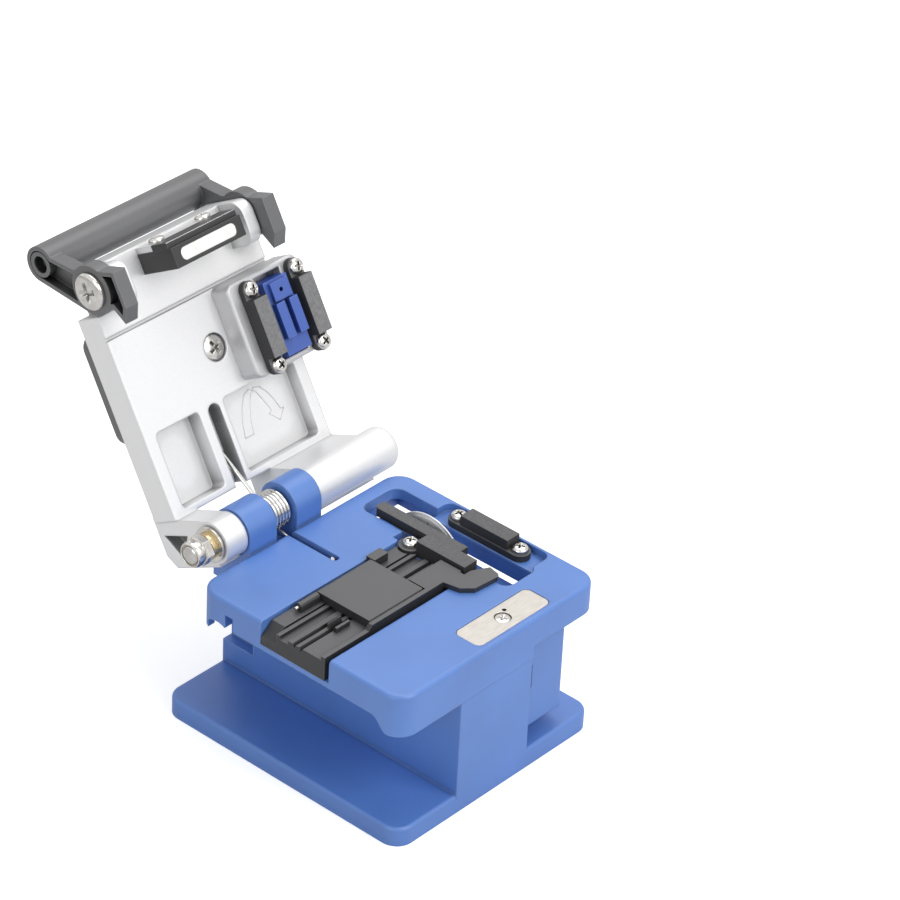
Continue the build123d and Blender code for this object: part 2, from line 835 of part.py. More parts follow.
# Fibre holder: grooved bed, front wall, window frame with a hook, and the cover's lugs
holder_left = table_left
holder_length = holder_right - holder_left
with BuildPart() as fibre_holder:
    with Locations((holder_left, holder_front, channel_floor_z)):
        Box(
            holder_length,
            holder_back - holder_front,
            holder_bed_z - channel_floor_z,
            align=corner,
        )
    # Front wall, lower towards the free end
    with BuildSketch(Plane.XZ.offset(-holder_front)):
        with BuildLine():
            Polyline(
                (holder_left, channel_floor_z),
                (holder_left, front_wall_low_z),
                (front_wall_left - front_wall, front_wall_low_z),
                (front_wall_left, holder_top_z),
                (holder_right, holder_top_z),
                (holder_right, channel_floor_z),
                close=True,
            )
        make_face()
    extrude(amount=-front_wall)
    # Frame round the window
    frame_bars = (
        (holder_front, window_front, holder_right),
        (window_back, holder_back, right_lug_end),
    )
    for front, back, right in frame_bars:
        with Locations((frame_left, front, holder_bed_z - front_wall)):
            Box(
                right - frame_left,
                back - front,
                holder_top_z - holder_bed_z + front_wall,
                align=corner,
            )
    # Hook over the end of the lower left clamp
    with BuildSketch(Plane.XY.offset(hook_bottom_z)) as hook:
        Polygon(*hook_outline, align=None)
        fillet(hook.vertices().group_by(Axis.Y)[:3][0], front_wall)
    extrude(amount=holder_top_z - hook_bottom_z)
    # Stepped block at the groove's entry, and the left lug
    with Locations((step_left, step_front, holder_bed_z)):
        Box(
            step_right - step_left,
            step_back - step_front,
            step_top_z - holder_bed_z,
            align=corner,
        )
    lug_right = cover_left - part_gap
    with BuildSketch(Plane.YZ.offset(lug_left)):
        with Locations((cover_axis_y, cover_axis_z)):
            Circle(cover_r)
        with Locations((cover_axis_y, cover_axis_z)):
            Rectangle(2 * cover_r, cover_axis_z - holder_bed_z, align=(Align.CENTER, Align.MAX))
    extrude(amount=lug_right - lug_left)
    # Grooves along the bed
    with BuildSketch(Plane.YZ.offset(holder_left)):
        for y in (fibre_y, second_groove_y):
            Polygon(
                (y - v_groove / 2, holder_bed_z),
                (y, holder_bed_z - v_groove),
                (y + v_groove / 2, holder_bed_z),
                align=None,
            )
        with Locations((wide_groove_y, holder_bed_z)):
            Rectangle(wide_groove, wide_groove_depth, align=(Align.CENTER, Align.MAX))
        with Locations((slot_y, holder_bed_z)):
            Rectangle(slot_width, wide_groove_depth, align=(Align.CENTER, Align.MAX))
    extrude(amount=holder_length, mode=Mode.SUBTRACT)
    with BuildSketch(Plane.YZ.offset(step_left)):
        Polygon(
            (fibre_y - v_groove, step_top_z),
            (fibre_y, holder_bed_z - v_groove),
            (fibre_y + v_groove, step_top_z),
            align=None,
        )
    extrude(amount=step_right - step_left, mode=Mode.SUBTRACT)
    # Sloping back corner at the free end
    with BuildSketch(Plane.XZ.offset(-holder_back)):
        Polygon(
            (holder_left, holder_bed_z),
            (ramp_back_start, holder_bed_z),
            (holder_left, holder_bed_z - ramp_depth),
            align=None,
        )
    extrude(amount=holder_back - ramp_back_y, mode=Mode.SUBTRACT)
    # Notch about the clamp's lug, pin hole, keeper magnet's pocket and screw holes
    with BuildSketch(Plane.XY.offset(ledge_z - part_gap)):
        with Locations(left_lug):
            Circle(left_lug_r + part_gap)
    extrude(amount=holder_top_z, mode=Mode.SUBTRACT)
    with BuildSketch(Plane.YZ.offset(lug_left)):
        with Locations((cover_axis_y, cover_axis_z)):
            Circle(cover_pin_r + shaft_gap)
    extrude(amount=cover_pin_right + part_gap - lug_left, mode=Mode.SUBTRACT)
    with BuildSketch(Plane.XY.offset(holder_bed_z)):
        with Locations((keeper_x, keeper_y)):
            Circle(keeper_r + shaft_gap)
    extrude(amount=-keeper_depth, mode=Mode.SUBTRACT)
    with BuildSketch(Plane.XY.offset(channel_floor_z)):
        with Locations(
            *[(holder_screw_x, holder_screw_y + s * holder_screw_spread / 2) for s in (-1, 1)]
        ):
            Circle(holder_screw_r + shaft_gap)
    extrude(amount=holder_screw_depth, mode=Mode.SUBTRACT)
fibre_holder.part.label = "fibre_holder"
export_step(fibre_holder.part, "parts/fibre_holder.step")

holder_screw_z = channel_floor_z - channel_floor
with BuildPart() as holder_screws:
    add(
        [
            pan_screw(
                Plane(
                    origin=(
                        holder_screw_x,
                        holder_screw_y + s * holder_screw_spread / 2,
                        holder_screw_z,
                    ),
                    z_dir=(0, 0, -1),
                ),
                holder_screw_head_r,
                holder_screw_head,
                holder_screw_r,
                channel_floor + holder_screw_depth - part_gap,
            )
            for s in (-1, 1)
        ]
    )
holder_screws.part.label = "holder_screws"
export_step(holder_screws.part, "parts/holder_screws.step")

# Magnet in the bed that keeps the flip cover down
with BuildPart() as holder_magnet:
    with BuildSketch(Plane.XY.offset(holder_bed_z)):
        with Locations((keeper_x, keeper_y)):
            Circle(keeper_r)
    extrude(amount=-keeper_depth)
holder_magnet.part.label = "holder_magnet"
export_step(holder_magnet.part, "parts/holder_magnet.step")

with BuildPart() as cover_pin:
    with BuildSketch(Plane.YZ.offset(cover_pin_left)):
        with Locations((cover_axis_y, cover_axis_z)):
            Circle(cover_pin_r)
    extrude(amount=cover_pin_right - cover_pin_left)
cover_pin.part.label = "cover_pin"
export_step(cover_pin.part, "parts/cover_pin.step")

# Flip cover and the steel disc in its underside
cover_front = holder_front + front_wall + part_gap
with BuildPart() as holder_cover:
    with BuildSketch(Plane.YZ.offset(cover_left)) as cover_profile:
        with Locations((cover_axis_y, cover_axis_z)):
            Circle(cover_r)
            Rectangle(cover_axis_y - cover_front, 2 * cover_r, align=(Align.MAX, Align.CENTER))
        with Locations((cover_axis_y, cover_axis_z)):
            Circle(cover_pin_r + shaft_gap, mode=Mode.SUBTRACT)
    extrude(amount=cover_right - cover_left)
    chamfer(holder_cover.faces().sort_by(Axis.Y)[0].edges(), cover_r / 4)
    with BuildSketch(Plane.XY.offset(cover_bottom_z)):
        with Locations((keeper_x, keeper_y)):
            Circle(keeper_r + shaft_gap)
    extrude(amount=keeper_depth, mode=Mode.SUBTRACT)
holder_cover.part.label = "holder_cover"
export_step(holder_cover.part, "parts/holder_cover.step")

with BuildPart() as cover_keeper:
    with BuildSketch(Plane.XY.offset(cover_bottom_z)):
        with Locations((keeper_x, keeper_y)):
            Circle(keeper_r)
    extrude(amount=keeper_depth)
cover_keeper.part.label = "cover_keeper"
export_step(cover_keeper.part, "parts/cover_keeper.step")

# Hinge shaft with its nut and washer
with BuildPart() as hinge_shaft:
    with BuildSketch(Plane.YZ.offset(shaft_left)):
        with Locations((hinge_y, hinge_z)):
            Circle(shaft_r)
    extrude(amount=shaft_right - shaft_left)
    ends = hinge_shaft.edges().filter_by(GeomType.CIRCLE).sort_by(Axis.X)
    chamfer(ends[0], part_gap)
hinge_shaft.part.label = "hinge_shaft"
export_step(hinge_shaft.part, "parts/hinge_shaft.step")

washer_right = barrel_left - part_gap
with BuildPart() as hinge_washer:
    with BuildSketch(Plane.YZ.offset(washer_right)):
        with Locations((hinge_y, hinge_z)):
            Circle(washer_r)
            Circle(shaft_r + shaft_gap, mode=Mode.SUBTRACT)
    extrude(amount=-washer_thick)
hinge_washer.part.label = "hinge_washer"
export_step(hinge_washer.part, "parts/hinge_washer.step")

with BuildPart() as hinge_nut:
    with BuildSketch(Plane.YZ.offset(washer_right - washer_thick)):
        with Locations((hinge_y, hinge_z)):
            RegularPolygon(nut_r, 6)
            Circle(shaft_r + shaft_gap, mode=Mode.SUBTRACT)
    extrude(amount=-nut_thick)
hinge_nut.part.label = "hinge_nut"
export_step(hinge_nut.part, "parts/hinge_nut.step")

# Lid spring: coils round the shaft with one leg in the table's slot, one in the lid
coil_left = knuckle_1_right + part_gap
coil_length = knuckle_2_left - knuckle_1_right - 2 * part_gap
turn = coil_length / spring_turns
coil_section = [(coil_left, spring_inner_r)]
for number in range(spring_turns):
    start = coil_left + number * turn
    coil_section += [
        (start, spring_r - spring_valley),
        (start + turn * 0.25, spring_r),
        (start + turn * 0.75, spring_r),
    ]
coil_section += [
    (coil_left + coil_length, spring_r - spring_valley),
    (coil_left + coil_length, spring_inner_r),
]
with BuildPart() as hinge_spring:
    with BuildSketch(Plane(origin=(0, hinge_y, hinge_z), x_dir=(1, 0, 0), z_dir=(0, -1, 0))):
        Polygon(*coil_section, align=None)
    revolve(axis=Axis((0, hinge_y, hinge_z), (1, 0, 0)))
    table_leg_root = Vector(table_leg_x, hinge_y, hinge_z - spring_r + wire_r)
    table_leg_run = Vector(0, table_leg_tip_y - hinge_y, -table_leg_drop)
    with BuildSketch(Plane(origin=table_leg_root, z_dir=table_leg_run)):
        Circle(wire_r)
    extrude(amount=table_leg_run.length)
hinge_spring.part.label = "hinge_spring"
export_step(hinge_spring.part, "parts/hinge_spring.step")

with BuildPart() as hinge_spring_lid_leg:
    leg_start = lid_side(lid_leg_x).from_local_coords((-lid_leg_start[0], lid_leg_start[1], 0))
    leg_end = lid_side(lid_leg_x).from_local_coords((-lid_leg_end[0], lid_leg_end[1], 0))
    leg = leg_end - leg_start
    with BuildSketch(Plane(origin=leg_start, z_dir=leg)):
        Circle(wire_r)
    extrude(amount=leg.length)
hinge_spring_lid_leg.part.label = "hinge_spring_lid_leg"
export_step(hinge_spring_lid_leg.part, "parts/hinge_spring_lid_leg.step")

# Lid casting
block_mid = ((block_left + block_right) / 2, -(block_start + block_end) / 2)
window_mid_x = (window_left + window_right) / 2
anvil_mid_u = (anvil_start + anvil_end) / 2
anvil_spring_points = [
    (window_mid_x, -anvil_mid_u + s * anvil_spring_spread / 2) for s in (-1, 1)
]
block_screw_points = [(block_screw_x, -u) for u in block_screw_us]
with BuildPart() as lid_casting:
    with BuildSketch(lid_plane(lid_inner)):
        Polygon(
            (lid_left, -lid_start),
            (lid_left, -lid_shoulder),
            (ear_left, -lid_shoulder),
            (ear_left, -lid_end),
            (ear_right, -lid_end),
            (ear_right, -lid_shoulder),
            (lid_right, -lid_shoulder),
            (lid_right, -lid_start),
            align=None,
        )
    extrude(amount=lid_outer - lid_inner)
    outer_face = lid_casting.faces().sort_by(Axis((0, 0, 0), lid_out))[-1]
    fillet(outer_face.edges(), lid_edge)
    # Feet that carry the lid on its barrels
    for left, right in ((barrel_left, foot_left), (foot_right, lid_right)):
        with BuildSketch(lid_side(left)):
            Circle(barrel_r)
            Polygon(
                (-barrel_r, 0),
                (-lid_start, lid_inner),
                (-lid_start - lid_edge, lid_inner),
                (-lid_start - lid_edge, lid_outer),
                (foot_back, lid_outer),
                (foot_chin, foot_chin_w),
                (foot_heel, 0),
                align=None,
            )
        extrude(amount=right - left)
    with BuildSketch(lid_side(lid_right)):
        Circle(barrel_r)
    extrude(amount=barrel_cap - lid_right)
    cap_edges = lid_casting.edges().filter_by(GeomType.CIRCLE).sort_by(Axis.X)
    fillet(cap_edges[-1], barrel_cap_round)
    with BuildSketch(lid_side(barrel_left)):
        Circle(shaft_r + shaft_gap)
    extrude(amount=shaft_right + part_gap - barrel_left, mode=Mode.SUBTRACT)
    with BuildSketch(lid_side(barrel_left)):
        Circle(bush_r + shaft_gap)
    extrude(amount=bush_depth, mode=Mode.SUBTRACT)
    with BuildSketch(lid_side(barrel_left)):
        Polygon(*[(-u, w) for u, w in foot_pocket], align=None)
    extrude(amount=foot_pocket_depth, mode=Mode.SUBTRACT)
    # Ears for the bail, and the flap at the free end
    for left in (ear_left, ear_right - ear_thick):
        with BuildSketch(lid_side(left)):
            with Locations((-lid_end, ear_tip_w)):
                RectangleRounded(
                    lid_end - lid_shoulder,
                    lid_outer - lid_edge - ear_tip_w,
                    ear_round,
                    align=(Align.MIN, Align.MIN),
                )
        extrude(amount=ear_thick)
    with BuildSketch(lid_plane(flap_tip_w)):
        with Locations((flap_left, -flap_inner)):
            Rectangle(flap_right - flap_left, flap_thick, align=(Align.MIN, Align.MAX))
    extrude(amount=lid_inner - flap_tip_w + lid_edge)
    # Pockets in the inner face
    for (left, right), floor_w in ((left_pocket, left_pocket_w), (right_pocket, right_pocket_w)):
        with BuildSketch(lid_plane(lid_inner)):
            with Locations(((left + right) / 2, -(pocket_start + pocket_end) / 2)):
                RectangleRounded(right - left, pocket_end - pocket_start, pocket_round)
        extrude(amount=floor_w - lid_inner, mode=Mode.SUBTRACT)
    # Open pocket for the spring's leg
    leg_pocket_end = pocket_end - leg_pocket_r
    with BuildSketch(lid_plane(lid_inner)):
        with Locations((lid_leg_x, -leg_pocket_end)):
            Circle(leg_pocket_r)
            Rectangle(2 * leg_pocket_r, leg_pocket_end, align=(Align.CENTER, Align.MIN))
    extrude(amount=leg_pocket_w - lid_inner, mode=Mode.SUBTRACT)
    with BuildSketch(lid_plane(lid_inner)):
        with Locations((lid_left, -groove_u)):
            Rectangle(lid_right - lid_left, groove_width, align=(Align.MIN, Align.CENTER))
    extrude(amount=groove_depth, mode=Mode.SUBTRACT)
    # Holes: bail screws, grip pad screw, block screws, anvil springs and magnet screws
    with BuildSketch(lid_side(ear_left)):
        with Locations((-pivot_u, pivot_w)):
            Circle(bail_screw_thread_r + shaft_gap)
    extrude(amount=ear_right - ear_left, mode=Mode.SUBTRACT)
    with BuildSketch(lid_plane(lid_inner)):
        with Locations((pad_screw_x, -pad_screw_u)):
            Circle(pad_screw_r + shaft_gap)
        with Locations(*block_screw_points):
            Circle(block_screw_r + shaft_gap)
    extrude(amount=lid_outer, mode=Mode.SUBTRACT)
    with BuildSketch(lid_plane(lid_inner)):
        with Locations((pad_screw_x, -pad_screw_u)):
            Circle(pad_screw_head_r + slide_gap)
    extrude(amount=pad_screw_head, mode=Mode.SUBTRACT)
    with BuildSketch(lid_plane(lid_outer)):
        with Locations(*block_screw_points):
            Circle(block_screw_head_r + slide_gap)
    extrude(amount=-block_screw_head - slide_gap, mode=Mode.SUBTRACT)
    with BuildSketch(lid_plane(lid_inner)):
        with Locations(*anvil_spring_points):
            Circle(anvil_spring_r + slide_gap)
    extrude(amount=anvil_spring_depth, mode=Mode.SUBTRACT)
    flap_outer = flap_inner + flap_thick
    flap_mid_x = (flap_left + flap_right) / 2
    flap_plane = Plane(
        origin=lid_side(flap_mid_x).from_local_coords((-flap_outer, magnet_screw_w, 0)),
        x_dir=(1, 0, 0),
        z_dir=-lid_home,
    )
    with BuildSketch(flap_plane):
        with Locations((-magnet_screw_spread / 2, 0), (magnet_screw_spread / 2, 0)):
            Circle(magnet_screw_r + shaft_gap)
    extrude(amount=-flap_thick, mode=Mode.SUBTRACT)
lid_casting.part.label = "lid_casting"
export_step(lid_casting.part, "parts/lid_casting.step")

with BuildPart() as lid_bush:
    with BuildSketch(lid_side(barrel_left)):
        Circle(bush_r)
        Circle(shaft_r + shaft_gap, mode=Mode.SUBTRACT)
    extrude(amount=bush_depth)
lid_bush.part.label = "lid_bush"
export_step(lid_bush.part, "parts/lid_bush.step")

# Clamp block with the anvil's stepped window
with BuildPart() as clamp_block:
    with BuildSketch(lid_plane(block_face)):
        with Locations(block_mid):
            RectangleRounded(block_right - block_left, block_end - block_start, block_corner)
    extrude(amount=lid_inner - block_face)
    block_rim = clamp_block.faces().sort_by(Axis((0, 0, 0), lid_out))[0]
    chamfer(block_rim.edges(), block_edge)
    with BuildSketch(lid_plane(block_face)):
        with Locations((window_left, -window_start)):
            Rectangle(
                window_right - window_left,
                window_end - window_start,
                align=(Align.MIN, Align.MAX),
            )
    extrude(amount=lid_inner, mode=Mode.SUBTRACT)
    with BuildSketch(lid_plane(window_step)):
        with Locations((window_left - window_shelf, -window_start + window_shelf)):
            Rectangle(
                window_right - window_left + 2 * window_shelf,
                window_end - window_start + 2 * window_shelf,
                align=(Align.MIN, Align.MAX),
            )
    extrude(amount=lid_inner, mode=Mode.SUBTRACT)
    with BuildSketch(lid_plane(lid_inner)):
        with Locations(*block_screw_points):
            Circle(block_screw_r + shaft_gap)
    extrude(amount=-block_screw_depth - slide_gap, mode=Mode.SUBTRACT)
    with BuildSketch(lid_plane(block_face)):
        with Locations(
            *[
                (x, -upper_clamp_u + s * clamp_screw_spread / 2)
                for x in (clamp_centre_left, clamp_centre_right)
                for s in (-1, 1)
            ]
        ):
            Circle(clamp_screw_r + shaft_gap)
    extrude(amount=clamp_screw_depth + slide_gap, mode=Mode.SUBTRACT)
clamp_block.part.label = "clamp_block"
export_step(clamp_block.part, "parts/clamp_block.step")

block_screw_plane = lid_plane(lid_outer - block_screw_head - slide_gap)
with BuildPart() as clamp_block_screws:
    add(
        [
            pan_screw(
                facing(block_screw_plane, *point),
                block_screw_head_r,
                block_screw_head,
                block_screw_r,
                lid_outer - block_screw_head - slide_gap - lid_inner + block_screw_depth,
            )
            for point in block_screw_points
        ]
    )
clamp_block_screws.part.label = "clamp_block_screws"
export_step(clamp_block_screws.part, "parts/clamp_block_screws.step")


def upper_clamp(centre_x):
    """Rubber-faced clamp on the clamp block, with a flange that takes two screws."""
    with BuildPart() as clamp:
        with BuildSketch(lid_plane(block_face - flange_thick)):
            with Locations((centre_x, -upper_clamp_u)):
                SlotCenterToCenter(clamp_screw_spread, clamp_width, rotation=90)
            with Locations(
                *[(centre_x, -upper_clamp_u + s * clamp_screw_spread / 2) for s in (-1, 1)]
            ):
                Circle(clamp_screw_r + shaft_gap, mode=Mode.SUBTRACT)
        extrude(amount=flange_thick)
        with BuildSketch(lid_plane(upper_pad_w)):
            with Locations((centre_x, -upper_clamp_u)):
                Rectangle(clamp_width, clamp_pad_length)
        extrude(amount=block_face - upper_pad_w)
    return clamp.part


def upper_clamp_screws(centre_x):
    """The two screws of an upper clamp; their heads point away from the lid."""
    seat = lid_plane(block_face - flange_thick)
    return [
        pan_screw(
            facing(seat, centre_x, -upper_clamp_u + s * clamp_screw_spread / 2, -1),
            clamp_screw_head_r,
            clamp_screw_head,
            clamp_screw_r,
            flange_thick + clamp_screw_depth,
        )
        for s in (-1, 1)
    ]


with BuildPart() as upper_left_clamp:
    add(upper_clamp(clamp_centre_left))
upper_left_clamp.part.label = "upper_left_clamp"
export_step(upper_left_clamp.part, "parts/upper_left_clamp.step")

with BuildPart() as upper_left_clamp_screws:
    add(upper_clamp_screws(clamp_centre_left))
upper_left_clamp_screws.part.label = "upper_left_clamp_screws"
export_step(upper_left_clamp_screws.part, "parts/upper_left_clamp_screws.step")

with BuildPart() as upper_right_clamp:
    add(upper_clamp(clamp_centre_right))
upper_right_clamp.part.label = "upper_right_clamp"
export_step(upper_right_clamp.part, "parts/upper_right_clamp.step")

with BuildPart() as upper_right_clamp_screws:
    add(upper_clamp_screws(clamp_centre_right))
upper_right_clamp_screws.part.label = "upper_right_clamp_screws"
export_step(upper_right_clamp_screws.part, "parts/upper_right_clamp_screws.step")

# Anvil: a sprung tongue in the clamp block's window, held by its flange
with BuildPart() as anvil:
    anvil_width = window_right - window_left - 2 * part_gap
    with BuildSketch(lid_plane(anvil_neck_w)):
        with Locations((window_mid_x, -anvil_mid_u)):
            Rectangle(anvil_width, anvil_end - anvil_start)
    extrude(amount=window_step - anvil_neck_w + slide_gap)
    with BuildSketch(lid_plane(window_step + slide_gap)):
        with Locations((window_mid_x, -anvil_mid_u)):
            Rectangle(anvil_width + 2 * window_shelf, anvil_end - anvil_start)
    extrude(amount=anvil_flange)
    # The two ribs that press the fibre on both sides of the blade
    with BuildSketch(lid_plane(anvil_tip_w)):
        for s in (-1, 1):
            rib_x = window_mid_x + s * (anvil_rib_width + anvil_rib_gap) / 2
            with Locations((rib_x, -anvil_rib_start)):
                Rectangle(
                    anvil_rib_width,
                    anvil_rib_end - anvil_rib_start,
                    align=(Align.CENTER, Align.MAX),
                )
    extrude(amount=anvil_neck_w - anvil_tip_w)
    # Square pad with a hole at the far end
    anvil_pad_mid = (window_mid_x, -(anvil_pad_start + anvil_pad_end) / 2)
    with BuildSketch(lid_plane(anvil_pad_w)):
        with Locations(anvil_pad_mid):
            Rectangle(anvil_pad_width, anvil_pad_end - anvil_pad_start)
            Circle(anvil_hole_r, mode=Mode.SUBTRACT)
    extrude(amount=anvil_neck_w - anvil_pad_w)
    with BuildSketch(lid_plane(anvil_pad_w)):
        with Locations(anvil_pad_mid):
            Circle(anvil_hole_r)
    extrude(amount=anvil_hole_depth, mode=Mode.SUBTRACT)
anvil.part.label = "anvil"
export_step(anvil.part, "parts/anvil.step")

anvil_back_w = window_step + slide_gap + anvil_flange + anvil_travel
with BuildPart() as anvil_springs:
    with BuildSketch(lid_plane(anvil_back_w + slide_gap)):
        with Locations(*anvil_spring_points):
            Circle(anvil_spring_r)
            Circle(anvil_spring_bore, mode=Mode.SUBTRACT)
    extrude(amount=lid_inner + anvil_spring_depth - anvil_back_w - slide_gap)
anvil_springs.part.label = "anvil_springs"
export_step(anvil_springs.part, "parts/anvil_springs.step")

# Magnet box, its magnet and the two screws through the flap
with BuildPart() as magnet_holder:
    with BuildSketch(lid_plane(magnet_box_w)):
        with Locations((flap_left, -magnet_box_inner)):
            Rectangle(
                flap_right - flap_left,
                flap_inner - magnet_box_inner,
                align=(Align.MIN, Align.MAX),
            )
    extrude(amount=lid_inner - magnet_box_w)
    with BuildSketch(lid_plane(magnet_box_w)):
        with Locations(magnet_mid):
            RectangleRounded(magnet_length, magnet_width, magnet_corner)
    extrude(amount=magnet_height, mode=Mode.SUBTRACT)
    with BuildSketch(flap_plane):
        with Locations((-magnet_screw_spread / 2, 0), (magnet_screw_spread / 2, 0)):
            Circle(magnet_screw_r + shaft_gap)
    extrude(amount=-magnet_screw_depth - slide_gap, mode=Mode.SUBTRACT)
magnet_holder.part.label = "magnet_holder"
export_step(magnet_holder.part, "parts/magnet_holder.step")

with BuildPart() as lid_magnet:
    with BuildSketch(lid_plane(magnet_box_w)):
        with Locations(magnet_mid):
            RectangleRounded(
                magnet_length - 2 * slide_gap,
                magnet_width - 2 * slide_gap,
                magnet_corner - slide_gap,
            )
    extrude(amount=magnet_height)
lid_magnet.part.label = "lid_magnet"
export_step(lid_magnet.part, "parts/lid_magnet.step")

with BuildPart() as magnet_screws:
    add(
        [
            pan_screw(
                facing(flap_plane, s * magnet_screw_spread / 2, 0),
                magnet_screw_head_r,
                magnet_screw_head,
                magnet_screw_r,
                magnet_screw_depth,
            )
            for s in (-1, 1)
        ]
    )
magnet_screws.part.label = "magnet_screws"
export_step(magnet_screws.part, "parts/magnet_screws.step")

# Grip pad on the lid's outer face, held from inside by one screw
with BuildPart() as grip_pad:
    with BuildSketch(lid_plane(lid_outer)):
        with Locations(((lid_left + lid_right) / 2, -(pad_start + pad_end) / 2)):
            RectangleRounded(
                lid_right - lid_left - 2 * pad_inset, pad_end - pad_start, pad_corner
            )
    extrude(amount=pad_thick)
    pad_face = grip_pad.faces().sort_by(Axis((0, 0, 0), lid_out))[-1]
    fillet(pad_face.edges(), pad_edge)
    with BuildSketch(lid_plane(lid_outer)):
        with Locations((pad_screw_x, -pad_screw_u)):
            Circle(pad_screw_r + shaft_gap)
    extrude(amount=pad_screw_bite + slide_gap, mode=Mode.SUBTRACT)
grip_pad.part.label = "grip_pad"
export_step(grip_pad.part, "parts/grip_pad.step")

with BuildPart() as grip_pad_screw:
    add(
        pan_screw(
            facing(lid_plane(lid_inner + pad_screw_head), pad_screw_x, -pad_screw_u, -1),
            pad_screw_head_r,
            pad_screw_head,
            pad_screw_r,
            lid_outer - lid_inner - pad_screw_head + pad_screw_bite,
        )
    )
grip_pad_screw.part.label = "grip_pad_screw"
export_step(grip_pad_screw.part, "parts/grip_pad_screw.step")

# Bail handle: a bar between two rimmed arms whose toes lever the lid off its magnet
with BuildPart() as bail_handle:
    with BuildSketch(lid_side(bail_left)):
        with Locations((-bar_u, bar_w)):
            Circle(bar_r)
    extrude(amount=bail_right - bail_left)
    arms = ((bail_left, bail_arm_left, 1), (bail_right, bail_arm_right, -1))
    for outer, thick, inward in arms:
        with BuildSketch(lid_side(outer)):
            with Locations((-bar_u, bar_w)):
                Circle(bar_r)
            with Locations((-pivot_u, pivot_w)):
                Circle(bail_ring_r)
            Polygon(*[(-u, w) for u, w in bail_outline], align=None)
        extrude(amount=inward * thick)
        with BuildSketch(lid_side(outer)):
            with Locations((-bar_u, bar_w)):
                Circle(bar_r)
            with Locations((-pivot_u, pivot_w)):
                Circle(bail_ring_r)
            Polygon(*[(-u, w) for u, w in bail_outline], align=None)
            offset(amount=-bail_rim, mode=Mode.REPLACE)
            with Locations((-pivot_u, pivot_w)):
                Circle(bail_ring_r, mode=Mode.SUBTRACT)
            with Locations((-bar_u, bar_w)):
                Circle(bar_hole_r + bail_rim, mode=Mode.SUBTRACT)
        extrude(amount=inward * bail_pocket, mode=Mode.SUBTRACT)
        with BuildSketch(lid_side(outer)):
            with Locations((-bar_u, bar_w)):
                Circle(bar_hole_r)
        extrude(amount=inward * bar_hole_depth, mode=Mode.SUBTRACT)
        with BuildSketch(lid_side(outer)):
            with Locations((-pivot_u, pivot_w)):
                Circle(shaft_r + shaft_gap)
        extrude(amount=inward * thick, mode=Mode.SUBTRACT)
bail_handle.part.label = "bail_handle"
export_step(bail_handle.part, "parts/bail_handle.step")

# Shouldered screws that the bail turns on
with BuildPart() as bail_screws:
    for outer, ear, inward in ((bail_left, ear_left, 1), (bail_right, ear_right, -1)):
        seat_x = outer - inward * slide_gap
        with BuildSketch(lid_side(seat_x)):
            with Locations((-pivot_u, pivot_w)):
                Circle(bail_screw_head_r)
        extrude(amount=-inward * bail_screw_head)
        with BuildSketch(lid_side(seat_x - inward * bail_screw_head)):
            with Locations((-pivot_u, pivot_w)):
                Rectangle(bail_recess, bail_recess_width)
                Rectangle(bail_recess_width, bail_recess)
        extrude(amount=inward * bail_screw_head / 2, mode=Mode.SUBTRACT)
        with BuildSketch(lid_side(seat_x)):
            with Locations((-pivot_u, pivot_w)):
                Circle(shaft_r)
        extrude(amount=ear - seat_x)
        with BuildSketch(lid_side(ear)):
            with Locations((-pivot_u, pivot_w)):
                Circle(bail_screw_thread_r)
        extrude(amount=inward * bail_screw_depth)
bail_screws.part.label = "bail_screws"
export_step(bail_screws.part, "parts/bail_screws.step")


def rail_section(gap):
    """Section of the guide rail across Y, with its waist, grown by a gap on each side."""
    half = rail_width / 2 + gap
    top = column_right + rail_height + gap
    waist = column_right + rail_height / 2
    return [
        (rail_z - half, column_right),
        (rail_z - half, waist - rail_waist),
        (rail_z - half + rail_waist, waist),
        (rail_z - half, waist + rail_waist),
        (rail_z - half, top),
        (rail_z + half, top),
        (rail_z + half, waist + rail_waist),
        (rail_z + half - rail_waist, waist),
        (rail_z + half, waist - rail_waist),
        (rail_z + half, column_right),
    ]


# Linear guide on the column's side
with BuildPart() as slide_rail:
    with BuildSketch(Plane.XZ.offset(-rail_back)):
        Polygon(*[(x, z) for z, x in rail_section(0)], align=None)
    extrude(amount=rail_back - rail_front)
    rail_top = column_right + rail_height
    with BuildSketch(Plane.YZ.offset(rail_top)):
        with Locations(*[(y, rail_z) for y in rail_screw_ys]):
            Circle(rail_screw_head_r + slide_gap)
    extrude(amount=-rail_screw_head - slide_gap, mode=Mode.SUBTRACT)
    with BuildSketch(Plane.YZ.offset(rail_top)):
        with Locations(*[(y, rail_z) for y in rail_screw_ys]):
            Circle(rail_screw_r + shaft_gap)
    extrude(amount=-rail_height, mode=Mode.SUBTRACT)
slide_rail.part.label = "slide_rail"
export_step(slide_rail.part, "parts/slide_rail.step")

rail_screw_seat = rail_top - rail_screw_head - slide_gap
with BuildPart() as rail_screws:
    add(
        [
            pan_screw(
                facing(Plane.YZ.offset(rail_screw_seat), y, rail_z),
                rail_screw_head_r,
                rail_screw_head,
                rail_screw_r,
                rail_screw_seat - column_right + rail_screw_depth - slide_gap,
            )
            for y in rail_screw_ys
        ]
    )
rail_screws.part.label = "rail_screws"
export_step(rail_screws.part, "parts/rail_screws.step")

